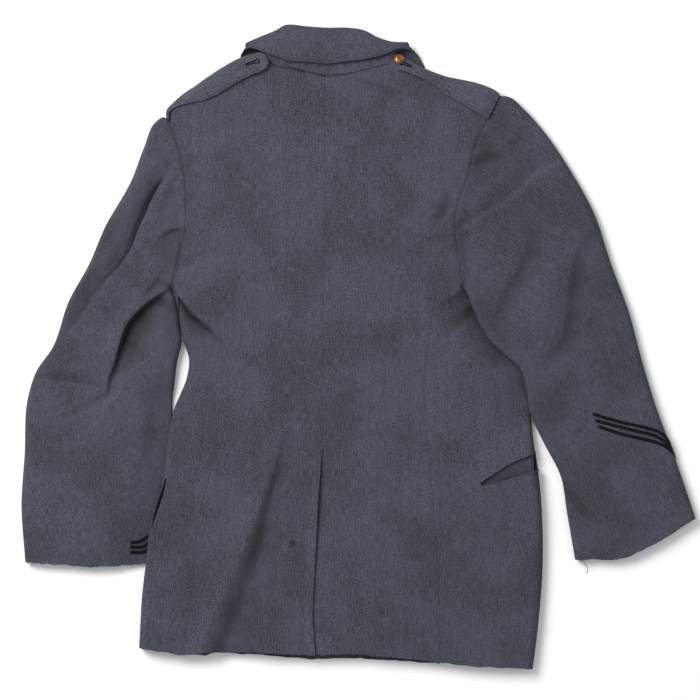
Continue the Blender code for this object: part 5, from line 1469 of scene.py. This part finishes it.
class Surface:
    """The upper face of some pieces, on which threads and braid are laid."""

    def __init__(self, *names):
        points, faces = [], []
        for name in names:
            mesh = bpy.data.objects[name].data
            base = len(points)
            points += [vertex.co.copy() for vertex in mesh.vertices]
            faces += [[base + k for k in face.vertices] for face in mesh.polygons]
        self.tree = BVHTree.FromPolygons(points, faces)

    def near(self, point):
        """The nearest place to a point, and its normal, in millimetres."""
        place, normal, _, _ = self.tree.find_nearest(Vector(point) * MM)
        return np.array(place) / MM, np.array(normal)

    def under(self, x, y):
        """The place and normal straight below a place in plan, or the nearest ones past an edge."""
        place, normal, _, _ = self.tree.ray_cast(Vector((x * MM, y * MM, RAY_START)), Vector((0, 0, -1)))
        if place is None:
            return self.near((x, y, BODY_ROOF))
        return np.array(place) / MM, np.array(normal)

    def path(self, plan, step=THREAD_STEP):
        """Places and normals along a line in plan."""
        line = Line(plan)
        shares = np.linspace(0, 1, cells(line.length, step) + 1)
        return arrays(self.under(*line(share)[:2]) for share in shares)


def arrays(found):
    """Places and normals, each as one array."""
    return [np.array(part) for part in zip(*found)]


def sleeve_surface(half):
    return Surface(*(f"sleeve_{half.name}_{cut}_cloth" for cut in ("top", "under")))


def tube_faces(count, size, ends=True, facing=1):
    """Faces of a tube of so many rings of points, and of its ends."""
    faces = []
    for ring in range(0, (count - 1) * size, size):
        for j in range(size):
            n = (j + 1) % size
            faces.append((ring + j, ring + size + j, ring + size + n, ring + n))
    if ends:
        faces += [tuple(range(size)), tuple(reversed(range((count - 1) * size, count * size)))]
    return faces if facing > 0 else [face[:1] + face[:0:-1] for face in faces]


def frame_along(points, normals):
    """Directions ahead, across and up for each point of a line on some cloth."""
    ahead = unit(np.gradient(points, axis=0))
    across = unit(np.cross(ahead, normals))
    return across, np.cross(across, ahead)


def strand(shell, points, normals, width, height=None):
    """Adds a thread along some points: a tube whose cross-section is width by height, with pointed ends."""
    height = height or width
    across, up = frame_along(points, normals)
    count = len(points)
    size = np.ones((count, 1))
    size[[0, -1]] = POINTED
    ring = [points + size * (across * math.cos(a) * width / 2 + up * math.sin(a) * height / 2)
            for a in np.linspace(0, 2 * math.pi, THREAD_SIDES + 1)[:-1]]
    length = np.repeat(np.arange(count) * THREAD_STEP, THREAD_SIDES)
    grain = np.column_stack([length, length])
    shell.add(np.stack(ring, axis=1), tube_faces(count, THREAD_SIDES), grain, 0.0)


# A stitch's height over the cloth at its four points, and its height for its width
STITCH_LIFTS, STITCH_FLATNESS = (-0.1, 0.16, 0.16, -0.1), 0.7


def stitches(shell, places, normals):
    """Adds running stitches along a line of places."""
    sizes = bpy.context.scene.coat_sizes
    along = distances(places)
    length, gap, width = sizes.stitch_length / MM, sizes.stitch_gap / MM, sizes.thread_width / MM
    start = gap
    while start + length < along[-1]:
        spots = np.linspace(start, start + length, len(STITCH_LIFTS))
        line, up = (np.column_stack([np.interp(spots, along, part[:, k]) for k in range(3)])
                    for part in (places, normals))
        strand(shell, line + up * np.array(STITCH_LIFTS)[:, None], up, width, width * STITCH_FLATNESS)
        start += length + gap


BRAID_PROFILE, BRAID_LIFT, BRAID_EDGE, BRAID_STEP = 7, 0.1, 0.25, 0.9
BRAID_SMOOTHINGS, BRAID_ROUND_POINTS, BRAID_SINK = 3, 10, 0.4
RIDGE_SAMPLES = 801


def braid_shell(surface, half, rows):
    """One row of soutache over a sleeve, with a rib along each of its two cores. On the right it goes on
    round the sleeve's outer ridge."""
    points, normals = surface.path(rows, BRAID_STEP)
    if half.name == "right":
        dense = np.linspace(0, 1, RIDGE_SAMPLES)
        start = dense[np.linalg.norm(half.outer(dense)[:, :2] - rows[-1], axis=1).argmin()]
        ahead, arcs = zip(*((0, SLEEVE_ROOF / 4), *BRAID_ROUND))
        for arc in np.linspace(arcs[0] - 1, arcs[-1], BRAID_ROUND_POINTS):
            share = start + np.interp(-arc, -np.array(arcs), ahead) / half.outer.length
            place, normal = around(half.outer, half.middle, share, arc, 0)
            place, normal = surface.near(place + normal)
            points, normals = np.vstack([points, place]), np.vstack([normals, normal])
    for _ in range(BRAID_SMOOTHINGS):
        normals[1:-1] = (normals[:-2] + normals[1:-1] + normals[2:]) / 3
        points[1:-1] = (points[:-2] + 2 * points[1:-1] + points[2:]) / 4
    normals = unit(normals)
    across, _ = frame_along(points, normals)
    profile = []
    for t in np.linspace(-1, 1, 2 * BRAID_PROFILE + 1):
        core = math.sqrt(max(0.0, 1 - (2 * abs(t) - 1) ** 2))
        height = BRAID_THICK * (BRAID_EDGE + (1 - BRAID_EDGE) * core)
        profile.append((t * BRAID_WIDTH / 2, BRAID_LIFT + height))
    profile += [(BRAID_WIDTH / 2, -BRAID_SINK), (-BRAID_WIDTH / 2, -BRAID_SINK)]
    net = np.stack([points + across * a + normals * b for a, b in profile], axis=1)
    grain = np.dstack([np.broadcast_to(distances(points)[:, None], net.shape[:2]),
                       np.broadcast_to([a for a, _ in profile], net.shape[:2])])
    shell = Shell()
    shell.add(net, tube_faces(len(points), len(profile), facing=-1), grain.reshape(-1, 2), 0.0)
    return shell


BUTTON_SIDES = 64
# The button's section, from under its middle to its top: radius, height
BUTTON_SHAPE = (
    (0.0, 1.2), (2.0, 1.2), (2.4, 1.5), (6.0, 1.6), (6.45, 1.95), (6.6, 2.4), (6.4, 2.8), (6.05, 2.9),
    (5.8, 2.75), (5.6, 3.1), (5.1, 3.6), (4.3, 4.1), (3.4, 4.5), (2.4, 4.75), (1.3, 4.9), (0.0, 4.95)
)


def button_shell(half):
    seat, up = around(half.shoulder, BODY_MIDDLE, BUTTON_SHARE, BUTTON_ARC, STRAP_GAP + CLOTH + LIE_GAP)
    side = unit(np.cross(up, (0, 0, 1)))
    other = np.cross(up, side)
    angles = np.linspace(0, 2 * math.pi, BUTTON_SIDES + 1)[:-1]
    round_way = np.outer(np.cos(angles), side) + np.outer(np.sin(angles), other)
    rim = [seat + up * height + radius * round_way for radius, height in BUTTON_SHAPE[1:-1]]
    points = np.concatenate([[seat + up * BUTTON_SHAPE[0][1]], *rim, [seat + up * BUTTON_SHAPE[-1][1]]])
    faces = [tuple(p + 1 for p in face) for face in tube_faces(len(rim), BUTTON_SIDES, False, -1)]
    top, last = 1 + (len(rim) - 1) * BUTTON_SIDES, len(points) - 1
    for k in range(BUTTON_SIDES):
        n = (k + 1) % BUTTON_SIDES
        faces += [(0, 1 + n, 1 + k), (top + k, top + n, last)]
    shell = Shell()
    shell.add(points, faces, points[:, :2], 0.0)
    return shell


# Pocket facings: levels of the top and bottom rows, places of the outer columns, and how far the last row
# lies below the first
LEFT_FACING = (-160, -232), (-242, -222), 2.5
RIGHT_FACING = (-162, -196), (150, 227), 3.0
LEFT_FACING_LEAN, RIGHT_FACING_SLOPE = 15.0, 0.42
FACING_STEP = 2.0
# Painted shade on the facings, inside the pockets' mouths, and the further painted shade deep in the right
# one's mouth: place, width, amount
FACING_SHADE, FACING_DEEP = -2.0, (190, 20, 16)


def facing_shell(half):
    """The strip of cloth that shows in a pocket's mouth, just inside the side body."""
    left = half.name == "left"
    rows, columns, sink = LEFT_FACING if left else RIGHT_FACING
    y = np.linspace(*rows, cells(rows[0] - rows[1], FACING_STEP) + 1)
    x = np.linspace(*columns, cells(columns[1] - columns[0], FACING_STEP) + 1)
    low = np.linspace(0, 1, len(y))[:, None]
    net = np.stack(np.meshgrid(x, y), axis=-1)
    shade = np.full(net.shape[:2], FACING_SHADE)
    if left:
        top, bottom = LEFT_MOUTH
        net[..., 0] -= LEFT_FACING_LEAN * np.clip((net[..., 1] - top) / (bottom - top), 0, 1)
    else:
        net[..., 1] += (net[..., 0] - columns[0]) * RIGHT_FACING_SLOPE
        place, width, amount = FACING_DEEP
        # Painted shade deep in the right pocket's mouth, near its lower lip
        shade -= amount * low * bell(x - place, width)
    height, _ = BODY.layer(net, 1)
    outer = np.dstack([net, np.minimum(height, BODY_ROOF) - EDGE_THICK - LIE_GAP - low * sink])
    return cloth_shell(outer, net, shade, allowance=3, facing=-1)


# The buttonholes' slits, from the straight end to the eyelet, and their twist
HOLES = {"left": ((-146, 367.6), (-133.6, 371.4)), "right": ((67.5, 365.2), (57.5, 369))}
HOLE_EYE, HOLE_TWIST, HOLE_STEP, HOLE_HALF, HOLE_END = 2.0, 1.3, 0.45, 0.4, 0.6
EYE_TURN, EYE_POINTS = 150, 15
# A knot of twist: how much further every second one reaches, where its inner points lie, their heights over
# the cloth, and its width and height
KNOT_STAGGER, KNOT_REACHES, KNOT_LIFTS, KNOT_SIZE = 0.15, (0.4, -0.25), (-0.05, 0.5, 0.2), (0.7, 0.8)


def hole_outline(slit):
    """A keyhole's outline, at even distances: along one side of its slit, round its eyelet and back."""
    start, end = np.array(slit, float)
    way = unit(end - start)
    across = np.array([-way[1], way[0]])
    eye = end + way * HOLE_EYE
    loop = [eye + HOLE_EYE * (way * math.cos(a) + across * math.sin(a))
            for a in np.radians(np.linspace(-EYE_TURN, EYE_TURN, EYE_POINTS))]
    side = across * HOLE_HALF
    line = np.array([start - side, *loop, start + side, start - way * HOLE_END, start - side])
    along = distances(line)
    spots = np.linspace(0, along[-1], cells(along[-1], HOLE_STEP) + 1)
    return np.column_stack([np.interp(spots, along, line[:, k]) for k in range(2)])


def buttonhole_shell(surface, slit):
    """Twist worked close round a keyhole, with its knots side by side."""
    shell = Shell()
    outline = hole_outline(slit)
    ahead = np.gradient(outline, axis=0)
    across = unit(np.column_stack([ahead[:, 1], -ahead[:, 0]]))
    for k, (place, way) in enumerate(zip(outline, across)):
        reaches = (HOLE_TWIST + KNOT_STAGGER * (k % 2), *KNOT_REACHES)
        places, normals = arrays(surface.under(*(place + way * reach)) for reach in reaches)
        strand(shell, places + normals * np.array(KNOT_LIFTS)[:, None], normals, *KNOT_SIZE)
    return shell


LIP_STITCH_INSET = 5.0
LOOSE_THREAD = ((289, -273), (291, -277), (295.5, -283), (298, -288), (297.5, -291.5), (295, -292.5))
LOOSE_THREAD_HEIGHT, LOOSE_THREAD_WIDTH, LOOSE_THREAD_POINTS = 12.0, 0.6, 30
LOOSE_THREAD_FALL, LOOSE_THREAD_FLOOR = 0.5, 0.4
# Frayed threads: width and its spread, spread of their roots, shortest share of the length and how rare long
# ones are, spread of their directions, curl and rise, how deep they're rooted, and their least height
FLUFF_WIDTH, FLUFF_WIDTHS, FLUFF_SPREAD, FLUFF_SHORTEST, FLUFF_RARITY = 0.28, (0.6, 1.3), 0.3, 0.2, 1.6
FLUFF_TURN, FLUFF_CURL, FLUFF_RISE, FLUFF_ROOT, FLUFF_FLOOR, FLUFF_POINTS = 0.7, 0.5, 0.25, 1.5, 0.2, 4
CUFF_SAMPLES = np.linspace(0.02, 0.98, 300)
UPRIGHT = (0.0, 0.0, 1.0)


def fray_shell(cuffs, seed):
    """Short threads that stand out of a raw cuff, along the given edge points."""
    sizes = bpy.context.scene.coat_sizes
    random = np.random.default_rng(seed)
    shell = Shell()
    for _ in range(sizes.fray_count):
        place = cuffs[random.integers(len(cuffs))] + random.normal(0, FLUFF_SPREAD, 3)
        length = sizes.fray_length / MM * random.uniform(FLUFF_SHORTEST, 1) ** FLUFF_RARITY
        angle = random.normal(-math.pi / 2, FLUFF_TURN)
        turn = angle + random.normal(0, FLUFF_CURL) * np.linspace(0, 1, FLUFF_POINTS)
        rise = random.normal(0, FLUFF_RISE) * np.ones(FLUFF_POINTS)
        way = np.column_stack([np.cos(turn), np.sin(turn), rise])
        step = length / FLUFF_POINTS
        points = place + np.cumsum(way * step, axis=0) - way[0] * step * FLUFF_ROOT
        points[:, 2] = np.maximum(points[:, 2], FLUFF_FLOOR)
        width = FLUFF_WIDTH * random.uniform(*FLUFF_WIDTHS)
        strand(shell, points, np.tile(UPRIGHT, (FLUFF_POINTS, 1)), width)
    return shell


# Rows of stitching along a strap: how far past its end and up to which share of the shoulder, its distance
# from the edge, and the places it's laid through
STRAP_STITCH_START, STRAP_STITCH_END, STRAP_STITCH_INSET, STRAP_STITCH_SPOTS = 0.02, 0.78, 3.0, 110
# How high over a strap and the fall the search for the cloth starts
STRAP_OFF, FALL_OFF = 0.5, 0.6
# How many of the collar's stations have no stitching at each front end
COLLAR_STITCH_SKIP = 30


def strap_stitches(half, surface):
    shell = Shell()
    for way in (1, -1):
        spots = []
        for share in np.linspace(half.strap[0][0] + STRAP_STITCH_START, STRAP_STITCH_END, STRAP_STITCH_SPOTS):
            side = way * (1 - STRAP_STITCH_INSET / strap_frame(half, share)[1])
            spots.append(surface.near(strap_point(half, share, side, STRAP_OFF)[0]))
        stitches(shell, *arrays(spots))
    return shell


def collar_stitches():
    net, down = CollarForm().fall_net()
    surface = Surface("collar_fall_cloth")
    shell = Shell()
    for row in FALL_STITCH_ROWS:
        spots = []
        for k in range(COLLAR_STITCH_SKIP, net.shape[1] - COLLAR_STITCH_SKIP):
            spot = [np.interp(down[-1, k] - row, down[:, k], net[:, k, axis]) for axis in range(3)]
            spots.append(surface.near(np.array(spot) + (0, 0, FALL_OFF)))
        stitches(shell, *arrays(spots))
    return shell


def loose_thread():
    """A thread that hangs out of the right cuff and lies on the floor."""
    share = np.linspace(0, 1, LOOSE_THREAD_POINTS)
    plan = Line(LOOSE_THREAD)(share)[:, :2]
    height = LOOSE_THREAD_HEIGHT * (1 - fade(share / LOOSE_THREAD_FALL)) + LOOSE_THREAD_FLOOR
    shell = Shell()
    strand(shell, np.column_stack([plan, height]), np.tile(UPRIGHT, (LOOSE_THREAD_POINTS, 1)),
           LOOSE_THREAD_WIDTH)
    return shell


class COAT_OT_backs(Operator):
    """Cut the two backs, the left of which laps over the right at the vent"""
    bl_idname = "coat.backs"
    bl_label = "Backs"

    def execute(self, context):
        cloth = wool_twill("blue grey wool serge back", stain=STAIN)
        for half in both_halves():
            declare(back_piece(half, context.scene.coat_sizes.fine_step / MM), f"back_{half.name}", cloth)
        return {"FINISHED"}


class COAT_OT_fronts(Operator):
    """Cut the two fronts, which lie on the floor and lap over each other at the middle"""
    bl_idname = "coat.fronts"
    bl_label = "Fronts"

    def execute(self, context):
        cloth = wool_twill("blue grey wool serge front")
        for half in both_halves():
            declare(front_piece(half, context.scene.coat_sizes.plain_step / MM), f"front_{half.name}", cloth)
        return {"FINISHED"}


class COAT_OT_sides(Operator):
    """Cut the two side bodies with their pocket mouths, and the facings inside them"""
    bl_idname = "coat.sides"
    bl_label = "Side bodies and pockets"

    def execute(self, context):
        sizes = context.scene.coat_sizes
        cloth = wool_twill("blue grey wool serge side")
        # The facing's cloth is a darker copy of the wool, as painted shade inside the pocket mouths
        lining = wool_twill("pocket facing serge", shade=0.9)
        for half in both_halves():
            shell = side_piece(half, sizes.fine_step / MM, sizes.plain_step / MM)
            declare(shell, f"side_{half.name}", cloth)
            name = f"pocket_{half.name}"
            trim(facing_shell(half), f"{name}_cloth", lining, f"{name}_facing")
        return {"FINISHED"}


class COAT_OT_sleeves(Operator):
    """Cut the top and the under sleeve of each arm, with raw cuffs"""
    bl_idname = "coat.sleeves"
    bl_label = "Sleeves"

    def execute(self, context):
        sizes = context.scene.coat_sizes
        cloth = wool_twill("blue grey wool serge sleeve")
        for half in both_halves():
            for outer_ridge, cut in zip((True, False), SLEEVE_CUTS[half.name]):
                shell = sleeve_piece(half, outer_ridge, sizes.fine_step / MM, sizes.plain_step / MM)
                declare(shell, f"sleeve_{half.name}_{cut}", cloth)
        return {"FINISHED"}


class COAT_OT_straps(Operator):
    """Cut the shoulder straps, which lie over the shoulders with their round ends at the neck"""
    bl_idname = "coat.straps"
    bl_label = "Shoulder straps"

    def execute(self, context):
        cloth = wool_twill("blue grey wool serge strap", shade=1.12)
        for half in both_halves():
            trim(strap_piece(half), f"strap_{half.name}_cloth", cloth, f"shoulder_strap_{half.name}")
        return {"FINISHED"}


class COAT_OT_collar(Operator):
    """Set the collar's stand on the neck seam, and roll its fall over the stand"""
    bl_idname = "coat.collar"
    bl_label = "Collar"

    def execute(self, context):
        cloth = wool_twill("blue grey wool serge collar")
        form = CollarForm()
        net = form.stand_net()
        down = np.linspace(0, STAND_HEIGHT, len(net))[:, None] * np.ones(net.shape[1])
        grain = np.dstack([np.broadcast_to(form.length, down.shape), down])
        stand = cloth_shell(net, grain, np.full(down.shape, STAND_SHADE), allowance=1.5)
        declare(stand, "collar_stand", cloth)
        declare(fall_shell(form), "collar_fall", cloth)
        return {"FINISHED"}


class COAT_OT_braid(Operator):
    """Sew the rows of soutache on the sleeves"""
    bl_idname = "coat.braid"
    bl_label = "Braid"

    def execute(self, context):
        cloth = soutache("black rayon soutache")
        for half in both_halves():
            surface = sleeve_surface(half)
            for number, rows in enumerate(half.braid, 1):
                name = f"braid_{half.name}_{number}"
                trim(braid_shell(surface, half, rows), f"{name}_cord", cloth, name)
        return {"FINISHED"}


class COAT_OT_button(Operator):
    """Turn the right strap's brass button"""
    bl_idname = "coat.button"
    bl_label = "Button"

    def execute(self, context):
        trim(button_shell(Side("right")), "button_brass", aged_brass("aged gilt brass"), "button")
        return {"FINISHED"}


class COAT_OT_threads(Operator):
    """Work the buttonholes, the edge stitching, the frayed cuffs and a loose thread"""
    bl_idname = "coat.threads"
    bl_label = "Threads"

    def execute(self, context):
        colours = context.scene.coat_colours
        twist = twisted_thread("black silk twist", colours.braid)
        cotton = twisted_thread("grey cotton thread", colours.thread)
        fluff = twisted_thread("frayed wool yarn", colours.blue_yarn)
        for half in both_halves():
            surface = Surface(f"strap_{half.name}_cloth")
            hole = buttonhole_shell(surface, HOLES[half.name])
            trim(hole, f"buttonhole_{half.name}", twist)
            trim(strap_stitches(half, surface), f"strap_{half.name}_stitches", cotton)
        trim(collar_stitches(), "collar_stitches", cotton)
        shell = Shell()
        lip = np.array(RIGHT_LOWER_LIP[1:5], float) - (0, LIP_STITCH_INSET)
        stitches(shell, *Surface("side_right_cloth").path(lip))
        trim(shell, "pocket_stitches", cotton)
        for half, seed in zip(both_halves(), (11, 12)):
            surface = sleeve_surface(half)
            line = half.cuff(CUFF_SAMPLES)[:, :2]
            edges = [surface.near((x, y, height))[0] for x, y in line for height in (SLEEVE_ROOF, 1.0)]
            trim(fray_shell(np.array(edges), seed), f"cuff_{half.name}_fray", fluff)
        trim(loose_thread(), "loose_thread", cotton)
        return {"FINISHED"}


VIEW_CENTRE = (-0.0117, -0.0026)
VIEW_WIDTH, VIEW_LEVEL, SENSOR = 0.910, 0.010, 36.0
FLOOR, SKY = 6.0, 0.46
# The lamps: place, diameter, power
LAMPS = {"key": ((-1.8, 1.4, 2.5), 1.9, 120), "fill": ((0.6, -0.4, 3.2), 2.6, 16)}


def place_thing(name, data, location=(0, 0, 0)):
    thing = bpy.data.objects.new(name, data)
    thing.location = location
    bpy.context.scene.collection.objects.link(thing)
    return thing


class COAT_OT_stage(Operator):
    """Lay a pale floor, light it softly from the upper left and look straight down"""
    bl_idname = "coat.stage"
    bl_label = "Stage"

    def execute(self, context):
        scene = context.scene
        mesh = bpy.data.meshes.new("floor")
        corners = [(x * FLOOR, y * FLOOR, 0) for x, y in ((-1, -1), (1, -1), (1, 1), (-1, 1))]
        mesh.from_pydata(corners, [], [(0, 1, 2, 3)])
        paper = new_material("white paper")
        shader = add(paper.node_tree, "BsdfPrincipled", {
            "Base Color": (*linear("#F4F4F4"), 1), "Roughness": 0.95, "Specular IOR Level": 0.1})
        add(paper.node_tree, "OutputMaterial", {"Surface": shader})
        mesh.materials.append(paper)
        place_thing("floor", mesh)
        world = bpy.data.worlds.new("studio")
        world.use_nodes = True
        world.node_tree.nodes.clear()
        sky = add(world.node_tree, "Background", {"Color": (1, 1, 1, 1), "Strength": SKY})
        add(world.node_tree, "OutputWorld", {"Surface": sky})
        scene.world = world
        for name, (place, size, power) in LAMPS.items():
            lamp = bpy.data.lights.new(name, "AREA")
            lamp.shape, lamp.size, lamp.energy = "DISK", size, power
            thing = place_thing(name, lamp, place)
            thing.rotation_euler = (-Vector(place)).to_track_quat("-Z", "Y").to_euler()
        camera = bpy.data.cameras.new("camera")
        camera.sensor_width = SENSOR
        camera.lens = scene.coat_sizes.lens
        away = VIEW_WIDTH * camera.lens / SENSOR
        camera.clip_end = 4 * away
        scene.camera = place_thing("camera", camera, (*VIEW_CENTRE, VIEW_LEVEL + away))
        scene.view_settings.view_transform = "Standard"
        return {"FINISHED"}


PIECES = (COAT_OT_backs, COAT_OT_fronts, COAT_OT_sides, COAT_OT_sleeves, COAT_OT_straps, COAT_OT_collar,
          COAT_OT_braid, COAT_OT_button, COAT_OT_threads, COAT_OT_stage)


class COAT_PT_panel(Panel):
    """Lists the coat's pieces, sizes and colours"""
    bl_label = "Cadet dress coat"
    bl_space_type = "VIEW_3D"
    bl_region_type = "UI"
    bl_category = "Coat"

    def draw(self, context):
        for group in (context.scene.coat_sizes, context.scene.coat_colours):
            box = self.layout.box()
            for name in group.__annotations__:
                box.prop(group, name)
        for piece in PIECES:
            self.layout.operator(piece.bl_idname)


def register():
    for group in (CoatSizes, CoatColours, *PIECES, COAT_PT_panel):
        bpy.utils.register_class(group)
    bpy.types.Scene.coat_sizes = PointerProperty(type=CoatSizes)
    bpy.types.Scene.coat_colours = PointerProperty(type=CoatColours)


def unregister():
    del bpy.types.Scene.coat_colours
    del bpy.types.Scene.coat_sizes
    for group in (COAT_PT_panel, *reversed(PIECES), CoatColours, CoatSizes):
        bpy.utils.unregister_class(group)


def main():
    register()
    for piece in PIECES:
        name = piece.bl_idname.split(".")[1]
        getattr(bpy.ops.coat, name)()


if __name__ == "__main__":
    main()
